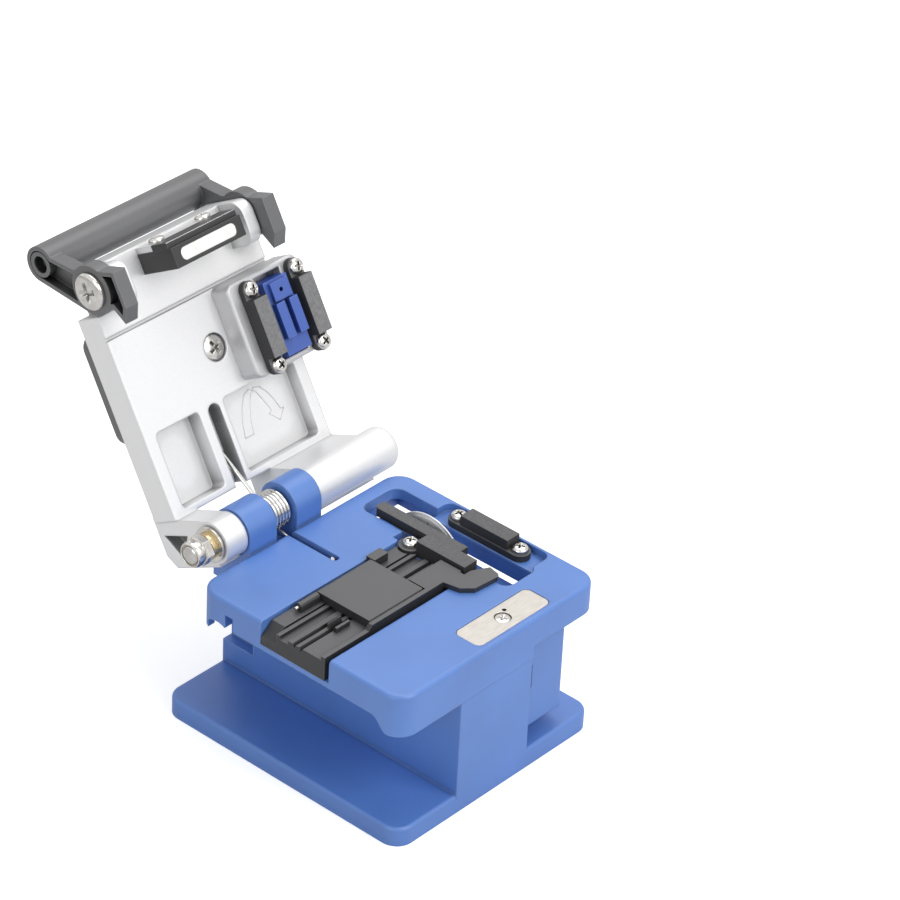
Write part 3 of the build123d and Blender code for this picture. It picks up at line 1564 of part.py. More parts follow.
slider_bottom = rail_z - slider_height / 2
with BuildPart() as slide_block:
    with Locations((carriage_left, slider_front, slider_bottom)):
        Box(
            slider_right - carriage_left,
            slider_back - slider_front,
            slider_height,
            align=corner,
        )
    with BuildSketch(Plane.XZ.offset(-slider_back)):
        Polygon(*[(x, z) for z, x in rail_section(slide_gap)], align=None)
    extrude(amount=slider_back - slider_front, mode=Mode.SUBTRACT)
    with BuildSketch(Plane.YZ.offset(slider_right)):
        with Locations(*[(y, carriage_screw_z) for y in carriage_screw_ys]):
            Circle(carriage_screw_r + shaft_gap)
    extrude(amount=-carriage_screw_bite - slide_gap, mode=Mode.SUBTRACT)
slide_block.part.label = "slide_block"
export_step(slide_block.part, "parts/slide_block.step")

# Blade carriage: a moulded block that rides on the slide block and holds the arbor
with BuildPart() as blade_carriage:
    carriage_length = carriage_back - carriage_front
    with Locations((carriage_left, carriage_front, carriage_bottom_z)):
        Box(
            carriage_right - carriage_left,
            carriage_length,
            carriage_top_z - carriage_bottom_z,
            align=corner,
        )
    fillet(blade_carriage.edges().filter_by(Axis.Z), carriage_round)
    with BuildSketch(Plane.YZ.offset(cheek_left)):
        with Locations((blade_y, blade_z)):
            Circle(boss_r)
        with Locations((blade_y, blade_z)):
            Rectangle(2 * boss_r, blade_z - rail_z, align=(Align.CENTER, Align.MAX))
    extrude(amount=carriage_right - cheek_left)
    slot_half = blade_r + slot_gap
    with BuildSketch(Plane.YZ.offset(slot_left)):
        with Locations((blade_y, blade_z)):
            Circle(slot_half)
            Rectangle(2 * slot_half, blade_z, align=(Align.CENTER, Align.MIN))
    extrude(amount=cheek_left - slot_left, mode=Mode.SUBTRACT)
    with Locations((carriage_left, slider_front - slide_gap, slider_bottom - slide_gap)):
        Box(
            slider_right - carriage_left,
            slider_back - slider_front + 2 * slide_gap,
            slider_height + 2 * slide_gap,
            align=corner,
            mode=Mode.SUBTRACT,
        )
    with Locations(
        (carriage_left, carriage_front, rail_z - rail_width / 2 - part_gap)
    ):
        Box(
            column_right + rail_height + part_gap - carriage_left,
            carriage_length,
            rail_width + 2 * part_gap,
            align=corner,
            mode=Mode.SUBTRACT,
        )
    with BuildSketch(Plane.YZ.offset(carriage_right)):
        with Locations(*[(y, carriage_screw_z) for y in carriage_screw_ys]):
            Circle(carriage_screw_r + shaft_gap)
    extrude(amount=slider_right - carriage_right, mode=Mode.SUBTRACT)
    with BuildSketch(Plane.YZ.offset(carriage_right)):
        with Locations(*[(y, carriage_screw_z) for y in carriage_screw_ys]):
            Circle(carriage_screw_head_r + slide_gap)
    extrude(amount=carriage_screw_seat - carriage_right, mode=Mode.SUBTRACT)
    with BuildSketch(Plane.YZ.offset(cheek_left)):
        with Locations((blade_y, blade_z)):
            Circle(blade_bore_r)
    extrude(amount=carriage_right - cheek_left, mode=Mode.SUBTRACT)
blade_carriage.part.label = "blade_carriage"
export_step(blade_carriage.part, "parts/blade_carriage.step")

with BuildPart() as carriage_screws:
    add(
        [
            pan_screw(
                facing(Plane.YZ.offset(carriage_screw_seat), y, carriage_screw_z),
                carriage_screw_head_r,
                carriage_screw_head,
                carriage_screw_r,
                carriage_screw_seat - slider_right + carriage_screw_bite,
            )
            for y in carriage_screw_ys
        ]
    )
carriage_screws.part.label = "carriage_screws"
export_step(carriage_screws.part, "parts/carriage_screws.step")

# Arbor: a shaft in the cheek's boss with a flange that the blade is clamped against
arbor_r = blade_bore_r - arbor_gap
blade_right = blade_left + blade_thick
with BuildPart() as blade_arbor:
    with BuildSketch(Plane.YZ.offset(blade_left)):
        with Locations((blade_y, blade_z)):
            Circle(arbor_r)
    extrude(amount=carriage_right - blade_left)
    with BuildSketch(Plane.YZ.offset(blade_right)):
        with Locations((blade_y, blade_z)):
            Circle(arbor_flange_r)
    extrude(amount=cheek_left - blade_right)
    with BuildSketch(Plane.YZ.offset(blade_left)):
        with Locations((blade_y, blade_z)):
            Circle(clamp_thread_r + shaft_gap)
    extrude(amount=blade_thick * 3, mode=Mode.SUBTRACT)
blade_arbor.part.label = "blade_arbor"
export_step(blade_arbor.part, "parts/blade_arbor.step")

with BuildPart() as blade_clamp_screw:
    with BuildSketch(Plane.YZ.offset(blade_left)):
        with Locations((blade_y, blade_z)):
            Circle(clamp_head_r)
    extrude(amount=-clamp_head)
    head_rim = blade_clamp_screw.edges().sort_by(Axis.X)[0]
    chamfer(head_rim, clamp_head / 3)
    with BuildSketch(Plane.YZ.offset(blade_left - clamp_head)):
        with Locations((blade_y, blade_z)):
            RegularPolygon(clamp_hex_r, 6)
    extrude(amount=clamp_head / 2, mode=Mode.SUBTRACT)
    with BuildSketch(Plane.YZ.offset(blade_left)):
        with Locations((blade_y, blade_z)):
            Circle(clamp_thread_r)
    extrude(amount=blade_thick * 3 - slide_gap)
blade_clamp_screw.part.label = "blade_clamp_screw"
export_step(blade_clamp_screw.part, "parts/blade_clamp_screw.step")

# Round blade with an edge bevelled from both faces
with BuildPart() as cleaving_blade:
    with BuildSketch(Plane(origin=(0, blade_y, blade_z), x_dir=(1, 0, 0), z_dir=(0, -1, 0))):
        Polygon(
            (blade_left, blade_bore_r),
            (blade_left, blade_r - blade_bevel_width),
            (blade_left + blade_bevel, blade_r),
            (blade_right - blade_bevel, blade_r),
            (blade_right, blade_r - blade_bevel_width),
            (blade_right, blade_bore_r),
            align=None,
        )
    revolve(axis=Axis((0, blade_y, blade_z), (1, 0, 0)))
cleaving_blade.part.label = "cleaving_blade"
export_step(cleaving_blade.part, "parts/cleaving_blade.step")
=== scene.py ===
import math

import bmesh
import bpy
from mathutils import Matrix, Vector


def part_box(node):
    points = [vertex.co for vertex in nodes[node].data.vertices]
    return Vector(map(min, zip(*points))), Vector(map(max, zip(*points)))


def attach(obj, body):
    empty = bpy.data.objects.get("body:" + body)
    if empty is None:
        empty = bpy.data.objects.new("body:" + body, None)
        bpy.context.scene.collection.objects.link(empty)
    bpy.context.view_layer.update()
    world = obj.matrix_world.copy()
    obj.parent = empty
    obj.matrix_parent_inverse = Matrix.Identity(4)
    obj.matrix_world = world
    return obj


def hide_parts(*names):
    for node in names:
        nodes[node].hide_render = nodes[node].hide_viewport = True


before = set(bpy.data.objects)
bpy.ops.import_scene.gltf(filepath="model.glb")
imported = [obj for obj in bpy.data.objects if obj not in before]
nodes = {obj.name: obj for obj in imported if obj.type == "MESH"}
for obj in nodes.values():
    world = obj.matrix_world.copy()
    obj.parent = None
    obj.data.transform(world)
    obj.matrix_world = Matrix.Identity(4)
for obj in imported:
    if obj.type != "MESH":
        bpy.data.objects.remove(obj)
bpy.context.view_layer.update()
MM = 0.001

# Base stand and table
# Two satin blue ABS mouldings: a foot plate with a column, and the skirted table that is
# screwed down on it. Their surfaces have a fine spark-eroded grain and soft moulded edges.


def shader_group(name, inputs, outputs):
    """Empty shader node group with named sockets; returns it with its end nodes."""
    group = bpy.data.node_groups.new(name, "ShaderNodeTree")
    for label, kind, value in inputs:
        socket = group.interface.new_socket(label, in_out="INPUT", socket_type=kind)
        socket.default_value = value
    for label, kind in outputs:
        group.interface.new_socket(label, in_out="OUTPUT", socket_type=kind)
    return group, group.nodes.new("NodeGroupInput"), group.nodes.new("NodeGroupOutput")


def feed(tree, value, socket):
    """Link an output to an input socket, or set the input to a plain value."""
    if isinstance(value, bpy.types.NodeSocket):
        tree.links.new(value, socket)
    else:
        socket.default_value = value


def feed_all(tree, node, values):
    """Feed a node's inputs by label, with underscores for the spaces in a label."""
    for label, value in values.items():
        feed(tree, value, node.inputs[label.replace("_", " ")])


def ramp(tree, value, **limits):
    """Value mapped from one range to another."""
    node = tree.nodes.new("ShaderNodeMapRange")
    feed_all(tree, node, {"Value": value, **limits})
    return node.outputs["Result"]


def maths(tree, operation, *values):
    """Arithmetic on numbers or sockets."""
    node = tree.nodes.new("ShaderNodeMath")
    node.operation = operation
    for socket, value in zip(node.inputs, values):
        feed(tree, value, socket)
    return node.outputs[0]


def scaled(tree, colour, amount):
    """Colour made lighter or darker by an amount."""
    node = tree.nodes.new("ShaderNodeVectorMath")
    node.operation = "SCALE"
    feed(tree, colour, node.inputs[0])
    feed(tree, amount, node.inputs["Scale"])
    return node.outputs[0]


def agreement(tree, direction, other):
    """Dot product of two directions: 1 where they agree."""
    node = tree.nodes.new("ShaderNodeVectorMath")
    node.operation = "DOT_PRODUCT"
    feed(tree, direction, node.inputs[0])
    feed(tree, other, node.inputs[1])
    return node.outputs["Value"]


def mixed(tree, mask, colour, masked_colour):
    """One colour where the mask is 0, the other where it is 1."""
    node = tree.nodes.new("ShaderNodeMix")
    node.data_type = "RGBA"
    feed_all(tree, node, {"Factor": mask, "A": colour, "B": masked_colour})
    return node.outputs["Result"]


def noise_in(group, scale, detail, stretch=None):
    """Noise in a group on object coordinates, which may be stretched."""
    coords = group.nodes.new("ShaderNodeTexCoord").outputs["Object"]
    if stretch is not None:
        mapping = group.nodes.new("ShaderNodeVectorMath")
        mapping.operation = "MULTIPLY"
        feed(group, coords, mapping.inputs[0])
        feed(group, stretch, mapping.inputs[1])
        coords = mapping.outputs[0]
    noise = group.nodes.new("ShaderNodeTexNoise")
    feed_all(group, noise, {"Vector": coords, "Scale": scale, "Detail": detail})
    return noise.outputs["Fac"]


def make_soft_edges():
    """Group: the normal of slightly rounded edges, and a mask that is 1 along them."""
    group, given, result = shader_group(
        "soft_edges",
        [("Radius", "NodeSocketFloat", 0.0003)],
        [("Normal", "NodeSocketVector"), ("Edge", "NodeSocketFloat")],
    )
    bevel = group.nodes.new("ShaderNodeBevel")
    bevel.samples = 6
    feed(group, given.outputs["Radius"], bevel.inputs["Radius"])
    geometry = group.nodes.new("ShaderNodeNewGeometry")
    flat = agreement(group, bevel.outputs[0], geometry.outputs["Normal"])
    feed(group, bevel.outputs[0], result.inputs["Normal"])
    feed(group, ramp(group, flat, From_Min=1.0, From_Max=0.9), result.inputs["Edge"])
    return group


def make_recess_shade():
    """Group: painted shade mask, 1 on open surfaces, falling towards 0 in corners, slots and
    recesses.
    """
    group, given, result = shader_group(
        "recess_shade", [("Reach", "NodeSocketFloat", 0.002)], [("Open", "NodeSocketFloat")]
    )
    corner = group.nodes.new("ShaderNodeAmbientOcclusion")
    corner.samples = 8
    corner.only_local = True
    feed(group, given.outputs["Reach"], corner.inputs["Distance"])
    opened = ramp(group, corner.outputs["AO"], From_Min=0.25, From_Max=0.85)
    feed(group, opened, result.inputs["Open"])
    return group


def make_facing_mask():
    """Group: 1 on faces that look along one direction of the piece, such as tops given painted
    light.
    """
    group, given, result = shader_group(
        "facing_mask",
        [("Direction", "NodeSocketVector", (0.0, 0.0, 1.0))],
        [("Mask", "NodeSocketFloat")],
    )
    coords = group.nodes.new("ShaderNodeTexCoord")
    facing = agreement(group, coords.outputs["Normal"], given.outputs["Direction"])
    feed(group, ramp(group, facing, From_Min=0.75, From_Max=0.95), result.inputs["Mask"])
    return group


def finish_group(name, inputs):
    """Empty group for a surface finish: its own inputs and those that every finish has."""
    return shader_group(
        name,
        inputs
        + [
            ("Base", "NodeSocketColor", (0.5, 0.5, 0.5, 1)),
            ("Roughness", "NodeSocketFloat", 0.4),
            ("Open", "NodeSocketFloat", 1.0),
            ("Recess Tone", "NodeSocketFloat", 0.4),
        ],
        [
            ("Color", "NodeSocketColor"),
            ("Roughness", "NodeSocketFloat"),
            ("Height", "NodeSocketFloat"),
        ],
    )


def end_finish(group, given, result, colour, patches, patch_gloss, height):
    """Close a finish group: colour darkened in recesses as painted shade, patchy gloss, and the
    height.
    """
    depth = ramp(group, given.outputs["Open"], To_Min=given.outputs["Recess Tone"])
    gloss = ramp(group, patches, To_Min=-patch_gloss, To_Max=patch_gloss)
    roughness = maths(group, "ADD", gloss, given.outputs["Roughness"])
    feed(group, scaled(group, colour, depth), result.inputs["Color"])
    feed(group, roughness, result.inputs["Roughness"])
    feed(group, height, result.inputs["Height"])
    return group


def make_mould_grain():
    """Group: fine grain height, broad shade drift, patchy gloss, painted light and shade, for
    mouldings.
    """
    group, given, result = finish_group(
        "mould_grain",
        [
            ("Grain Scale", "NodeSocketFloat", 2600.0),
            ("Drift Scale", "NodeSocketFloat", 60.0),
            ("Edge Tint", "NodeSocketColor", (0.7, 0.7, 0.7, 1)),
            ("Edge", "NodeSocketFloat", 0.0),
            ("Ground Tint", "NodeSocketColor", (0.1, 0.1, 0.1, 1)),
            ("Lit Face", "NodeSocketFloat", 0.0),
            ("Speckle", "NodeSocketFloat", 0.0),
        ],
    )
    have = given.outputs
    grain = noise_in(group, have["Grain Scale"], detail=3.0)
    drift = noise_in(group, have["Drift Scale"], detail=4.0)
    dots = maths(group, "MULTIPLY_ADD", grain, have["Speckle"], 1.0)
    ground = scaled(group, have["Ground Tint"], dots)
    face = mixed(group, have["Lit Face"], have["Base"], ground)
    shade = ramp(group, drift, From_Min=0.3, From_Max=0.7, To_Min=0.93, To_Max=1.06)
    edge_highlighted = mixed(group, have["Edge"], scaled(group, face, shade), have["Edge Tint"])
    return end_finish(group, given, result, edge_highlighted, drift, patch_gloss=0.06, height=grain)


soft_edges = make_soft_edges()
recess_shade = make_recess_shade()
facing_mask = make_facing_mask()
mould_grain = make_mould_grain()


def material_with(name, **sockets):
    """New material; returns it with its node tree and Principled shader."""
    material = bpy.data.materials.new(name)
    material.use_nodes = True
    tree = material.node_tree
    shader = tree.nodes["Principled BSDF"]
    feed_all(tree, shader, sockets)
    return material, tree, shader


def group_node(tree, group, **values):
    """Place a node group in a material with its own values."""
    node = tree.nodes.new("ShaderNodeGroup")
    node.node_tree = group
    feed_all(tree, node, values)
    return node


def apply_finish(tree, shader, finish, edges, strength, height):
    """Give the shader a finish, its height as bump on top of the soft edges."""
    bump = tree.nodes.new("ShaderNodeBump")
    bump.inputs["Strength"].default_value = strength
    bump.inputs["Distance"].default_value = height
    feed(tree, finish.outputs["Height"], bump.inputs["Height"])
    feed(tree, edges.outputs["Normal"], bump.inputs["Normal"])
    feed(tree, finish.outputs["Color"], shader.inputs["Base Color"])
    feed(tree, finish.outputs["Roughness"], shader.inputs["Roughness"])
    feed(tree, bump.outputs["Normal"], shader.inputs["Normal"])


# Share of the edge mask by which edges are painted towards a paler tint, a painted highlight.
EDGE_SHINE = 0.5


def moulded(
    name,
    colour,
    edge_colour,
    roughness,
    grain,
    grain_height,
    edge=0.0003,
    recess_shade_tone=0.5,
    reach=0.002,
    ground=None,
    lit_face_colour=(0.1, 0.1, 0.1),
    speckle=0.0,
    **more,
):
    """Moulded plastic: grain, drift of shade, painted shade in corners, soft edges with a
    painted highlight.

    The given direction picks the faces painted lighter than the rest, a painted sheen of light.
    """
    material, tree, shader = material_with(name, **more)
    edges = group_node(tree, soft_edges, Radius=edge)
    recess = group_node(tree, recess_shade, Reach=reach)
    skin = group_node(
        tree,
        mould_grain,
        Grain_Scale=grain,
        Base=(*colour, 1),
        Edge=maths(tree, "MULTIPLY", edges.outputs["Edge"], EDGE_SHINE),
        Edge_Tint=(*edge_colour, 1),
        Ground_Tint=(*lit_face_colour, 1),
        Speckle=speckle,
        Roughness=roughness,
        Open=recess.outputs["Open"],
        Recess_Tone=recess_shade_tone,
    )
    if ground is not None:
        tops = group_node(tree, facing_mask, Direction=ground)
        feed(tree, tops.outputs["Mask"], skin.inputs["Lit Face"])
    apply_finish(tree, shader, skin, edges, strength=0.6, height=grain_height)
    return material


def dress(material, *names):
    """Give CAD nodes a finish."""
    for name in names:
        mesh = nodes[name].data
        mesh.materials.clear()
        mesh.materials.append(material)


blue_plastic = moulded(
    "blue_abs",
    colour=(0.100, 0.226, 0.60),
    edge_colour=(0.20, 0.36, 0.78),
    roughness=0.40,
    grain=2400.0,
    grain_height=0.00002,
    edge=0.0005,
    Specular_IOR_Level=0.75,
)
dress(blue_plastic, "base_stand", "table_top")

# Metal parts in the base
# Bright plated screws and washer, the turned hinge shaft and blade arbor, the ground steel
# strike plate, the two magnets and the brass bush in the lid's barrel.


def make_tool_marks():
    """Group: streaks along one direction, with their colour, gloss and height."""
    group, given, result = finish_group(
        "tool_marks",
        [
            ("Scale", "NodeSocketFloat", 900.0),
            ("Stretch", "NodeSocketVector", (1.0, 1.0, 1.0)),
            ("Depth", "NodeSocketFloat", 0.2),
        ],
    )
    have = given.outputs
    streaks = noise_in(group, have["Scale"], detail=4.0, stretch=have["Stretch"])
    darkest = maths(group, "SUBTRACT", 1.0, have["Depth"])
    shade = ramp(group, streaks, From_Min=0.35, From_Max=0.65, To_Min=darkest, To_Max=1.0)
    tint = scaled(group, have["Base"], shade)
    return end_finish(group, given, result, tint, streaks, patch_gloss=0.08, height=streaks)


tool_marks = make_tool_marks()


def worked_metal(
    name,
    colour,
    roughness,
    scale,
    depth,
    height,
    stretch=(1, 1, 1),
    edge=0.0002,
    recess_shade_tone=0.3,
    reach=0.0015,
    metallic=1.0,
):
    """Metal with tool marks across the stretched direction, painted shade in recesses, soft
    edges.
    """
    material, tree, shader = material_with(name, Metallic=metallic)
    edges = group_node(tree, soft_edges, Radius=edge)
    recess = group_node(tree, recess_shade, Reach=reach)
    marks = group_node(
        tree,
        tool_marks,
        Scale=scale,
        Stretch=stretch,
        Base=(*colour, 1),
        Roughness=roughness,
        Depth=depth,
        Open=recess.outputs["Open"],
        Recess_Tone=recess_shade_tone,
    )
    apply_finish(tree, shader, marks, edges, strength=0.5, height=height)
    return material


plated = worked_metal(
    "nickel_plate",
    colour=(0.70, 0.68, 0.65),
    roughness=0.17,
    scale=700.0,
    depth=0.2,
    height=0.000004,
    recess_shade_tone=0.45,
    reach=0.0012,
)
turned_steel = worked_metal(
    "turned_steel",
    colour=(0.60, 0.59, 0.57),
    roughness=0.22,
    scale=500.0,
    depth=0.2,
    height=0.000006,
    stretch=(9, 1, 1),
)
ground_steel = worked_metal(
    "ground_steel",
    colour=(0.57, 0.54, 0.50),
    roughness=0.42,
    scale=350.0,
    depth=0.16,
    height=0.000005,
    stretch=(1, 12, 1),
)
brass = worked_metal(
    "turned_brass",
    colour=(0.78, 0.62, 0.36),
    roughness=0.25,
    scale=500.0,
    depth=0.2,
    height=0.000006,
    stretch=(9, 1, 1),
)
magnet_nickel = worked_metal(
    "magnet_nickel",
    colour=(0.93, 0.92, 0.90),
    roughness=0.3,
    scale=300.0,
    depth=0.05,
    height=0.000004,
    recess_shade_tone=0.7,
    metallic=0.4,
)
dress(plated, "body_screws", "holder_screws", "rail_screws", "carriage_screws")
dress(plated, "clamp_block_screws", "blade_clamp_screw", "cover_pin", "hinge_washer")
dress(turned_steel, "hinge_shaft", "blade_arbor", "slide_rail", "slide_block")
dress(ground_steel, "strike_plate", "cover_keeper")
dress(magnet_nickel, "holder_magnet", "lid_magnet")
dress(brass, "lid_bush")

# Cross-recessed screws that show
# Small pan-head machine screws with a Phillips recess, bright plated. The same form is
# used for the clamps, the strike plate, the magnet box, the grip pad and the bail.
HINGE = Vector((0, 27.4, 40.4)) * MM
OPEN_ANGLE = math.radians(59.8)
LID_ALONG = Vector((0, math.cos(OPEN_ANGLE), math.sin(OPEN_ANGLE)))
LID_OUT = Vector((0, math.sin(OPEN_ANGLE), -math.cos(OPEN_ANGLE)))


def lid_point(x, u, w):
    """Point of the lid, x along the hinge, u out from it and w above it when shut."""
    return HINGE + Vector((x, 0, 0)) + LID_ALONG * u + LID_OUT * w


def lid_box(name):
    """Lowest and highest x, u and w of a CAD node in the lid."""
    places = []
    for vertex in nodes[name].data.vertices:
        away = vertex.co - HINGE
        places.append((away.x, away.dot(LID_ALONG), away.dot(LID_OUT)))
    return Vector(map(min, *places)), Vector(map(max, *places))


def link(name, mesh, material, body):
    """Put a mesh in the scene with its finish, on a body."""
    mesh.materials.append(material)
    piece = bpy.data.objects.new(name, mesh)
    bpy.context.scene.collection.objects.link(piece)
    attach(piece, body)
    return piece


def turned(profile, steps=48):
    """Solid of revolution about Z from (radius, height) points, from axis to axis."""
    shape = bmesh.new()
    rings = []
    for radius, height in profile:
        if radius < 1e-9:
            rings.append([shape.verts.new((0, 0, height))])
            continue
        ring = []
        for i in range(steps):
            angle = math.tau * i / steps
            place = (radius * math.cos(angle), radius * math.sin(angle), height)
            ring.append(shape.verts.new(place))
        rings.append(ring)
    for low, high in zip(rings, rings[1:]):
        for i in range(steps):
            j = (i + 1) % steps
            if len(low) == 1:
                shape.faces.new((low[0], high[j], high[i]))
            elif len(high) == 1:
                shape.faces.new((low[i], low[j], high[0]))
            else:
                shape.faces.new((low[i], low[j], high[j], high[i]))
    bmesh.ops.recalc_face_normals(shape, faces=shape.faces)
    return shape


def carve(shape, cutter):
    """Cut one bmesh from another and return the result as a bmesh."""
    made = []
    for name, body in (("carved", shape), ("cutter", cutter)):
        mesh = bpy.data.meshes.new(name)
        body.to_mesh(mesh)
        body.free()
        piece = bpy.data.objects.new(name, mesh)
        bpy.context.scene.collection.objects.link(piece)
        made.append(piece)
    modifier = made[0].modifiers.new("cut", "BOOLEAN")
    modifier.operation = "DIFFERENCE"
    modifier.solver = "EXACT"
    modifier.object = made[1]
    bpy.context.view_layer.update()
    done = bpy.data.meshes.new_from_object(
        made[0].evaluated_get(bpy.context.evaluated_depsgraph_get())
    )
    result = bmesh.new()
    result.from_mesh(done)
    for piece in made:
        mesh = piece.data
        bpy.data.objects.remove(piece)
        bpy.data.meshes.remove(mesh)
    bpy.data.meshes.remove(done)
    return result


CROSS_LONG, CROSS_DEEP, CROSS_ARM = 1.2, 0.7, 0.13
CROSS_ABOVE, CROSS_TAPER = 1.4, 0.5


def cross_cutter(length, top, depth):
    """Tapered cross of a Phillips recess, from above the head down into it."""
    shape = bmesh.new()
    rings = []
    for height, grow in ((top * CROSS_ABOVE, 1.0), (top, 1.0), (top - depth, CROSS_TAPER)):
        arm, half = length / 2 * grow, length * CROSS_ARM * grow
        quarter = ((arm, -half), (arm, half), (half, half))
        points = []
        for turn in range(4):
            for x, y in quarter:
                for step in range(turn):
                    x, y = -y, x
                points.append((x, y, height))
        rings.append([shape.verts.new(point) for point in points])
    for low, high in zip(rings, rings[1:]):
        for i in range(len(low)):
            j = (i + 1) % len(low)
            shape.faces.new((low[i], low[j], high[j], high[i]))
    shape.faces.new(rings[0])
    shape.faces.new(rings[-1])
    bmesh.ops.recalc_face_normals(shape, faces=shape.faces)
    return shape


HEAD_RIM, HEAD_BEVEL, DOME_POWER, DOME_STEPS = 0.38, 0.05, 0.72, 7


def screw_head(radius, height):
    """Bmesh of a domed head with its recess, standing on z = 0."""
    rim = height * HEAD_RIM
    profile = [(0, 0), (radius * 0.97, 0), (radius, height * HEAD_BEVEL), (radius, rim)]
    for i in range(1, DOME_STEPS):
        angle = math.pi / 2 * i / DOME_STEPS
        reach = radius * math.cos(angle) ** DOME_POWER
        profile.append((reach, rim + (height - rim) * math.sin(angle)))
    profile.append((0, height))
    cross = cross_cutter(radius * CROSS_LONG, height, height * CROSS_DEEP)
    return carve(turned(profile), cross)


FIRST_TURN, NEXT_TURN = 25, 47


def screws(name, replaced, body, spots, radius, height, shank, length):
    """One object with a screw at each spot, a point and the way its head faces."""
    joined = bmesh.new()
    for number, (place, facing) in enumerate(spots):
        head = screw_head(radius, height)
        stem = turned([(0, -length), (shank, -length), (shank, 0), (0, 0)], steps=20)
        twist = Matrix.Rotation(math.radians(FIRST_TURN + NEXT_TURN * number), 4, "Z")
        stand = facing.to_track_quat("Z", "Y").to_matrix().to_4x4()
        for part in (head, stem):
            part.transform(Matrix.Translation(place) @ stand @ twist)
            mesh = bpy.data.meshes.new("piece")
            part.to_mesh(mesh)
            joined.from_mesh(mesh)
            bpy.data.meshes.remove(mesh)
            part.free()
    mesh = bpy.data.meshes.new(name)
    joined.to_mesh(mesh)
    joined.free()
    mesh.set_sharp_from_angle(angle=math.radians(40))
    for face in mesh.polygons:
        face.use_smooth = True
    piece = link(name, mesh, plated, body)
    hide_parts(replaced)
    return piece


UP, LEFT, RIGHT = Vector((0, 0, 1)), Vector((-1, 0, 0)), Vector((1, 0, 0))
CLAMP_HEAD, CLAMP_HEAD_HIGH, CLAMP_SHANK = 1.75 * MM, 1.3 * MM, 0.8 * MM
low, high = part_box("lower_right_clamp_screws")
seat = high.z - CLAMP_HEAD_HIGH
mid_x = (low.x + high.x) / 2
screws(
    "clamp_screws_lower_right",
    "lower_right_clamp_screws",
    "base",
    [
        (Vector((mid_x, low.y + CLAMP_HEAD, seat)), UP),
        (Vector((mid_x, high.y - CLAMP_HEAD, seat)), UP),
    ],
    CLAMP_HEAD,
    CLAMP_HEAD_HIGH,
    CLAMP_SHANK,
    seat - low.z,
)
low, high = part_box("lower_left_clamp_screw")
screws(
    "clamp_screw_lower_left",
    "lower_left_clamp_screw",
    "base",
    [(Vector(((low.x + high.x) / 2, (low.y + high.y) / 2, seat)), UP)],
    CLAMP_HEAD,
    CLAMP_HEAD_HIGH,
    CLAMP_SHANK,
    seat - low.z,
)
for side in ("left", "right"):
    low, high = lid_box(f"upper_{side}_clamp_screws")
    mid_x = (low.x + high.x) / 2
    seat_w = low.z + CLAMP_HEAD_HIGH
    screws(
        f"clamp_screws_upper_{side}",
        f"upper_{side}_clamp_screws",
        "lid",
        [
            (lid_point(mid_x, low.y + CLAMP_HEAD, seat_w), -LID_OUT),
            (lid_point(mid_x, high.y - CLAMP_HEAD, seat_w), -LID_OUT),
        ],
        CLAMP_HEAD,
        CLAMP_HEAD_HIGH,
        CLAMP_SHANK,
        high.z - seat_w,
    )
PLATE_HEAD_HIGH, PLATE_SHANK = 0.5 * MM, 0.9 * MM
low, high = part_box("strike_screw")
seat = high.z - PLATE_HEAD_HIGH
screws(
    "plate_screw",
    "strike_screw",
    "base",
    [(Vector(((low.x + high.x) / 2, (low.y + high.y) / 2, seat)), UP)],
    (high.x - low.x) / 2,
    PLATE_HEAD_HIGH,
    PLATE_SHANK,
    seat - low.z,
)
MAGNET_HEAD, MAGNET_HEAD_HIGH, MAGNET_SHANK = 1.75 * MM, 1.0 * MM, 0.9 * MM
low, high = lid_box("magnet_screws")
mid_w = (low.z + high.z) / 2
seat_u = high.y - MAGNET_HEAD_HIGH
screws(
    "magnet_box_screws",
    "magnet_screws",
    "lid",
    [
        (lid_point(low.x + MAGNET_HEAD, seat_u, mid_w), LID_ALONG),
        (lid_point(high.x - MAGNET_HEAD, seat_u, mid_w), LID_ALONG),
    ],
    MAGNET_HEAD,
    MAGNET_HEAD_HIGH,
    MAGNET_SHANK,
    seat_u - low.y,
)
PAD_HEAD_HIGH, PAD_SHANK = 1.3 * MM, 1.5 * MM
low, high = lid_box("grip_pad_screw")
pad_u, pad_w = (low.y + high.y) / 2, low.z + PAD_HEAD_HIGH
screws(
    "pad_screw",
    "grip_pad_screw",
    "lid",
    [(lid_point((low.x + high.x) / 2, pad_u, pad_w), -LID_OUT)],
    (high.x - low.x) / 2,
    PAD_HEAD_HIGH,
    PAD_SHANK,
    high.z - pad_w,
)
BAIL_HEAD_HIGH, BAIL_SHANK, BAIL_SHANK_LONG = 1.4 * MM, 2.0 * MM, 5.0 * MM
low, high = lid_box("bail_screws")
bail_u, bail_w = (low.y + high.y) / 2, (low.z + high.z) / 2
screws(
    "bail_pivot_screws",
    "bail_screws",
    "lid",
    [
        (lid_point(low.x + BAIL_HEAD_HIGH, bail_u, bail_w), LEFT),
        (lid_point(high.x - BAIL_HEAD_HIGH, bail_u, bail_w), RIGHT),
    ],
    (high.y - low.y) / 2,
    BAIL_HEAD_HIGH,
    BAIL_SHANK,
    BAIL_SHANK_LONG,
)

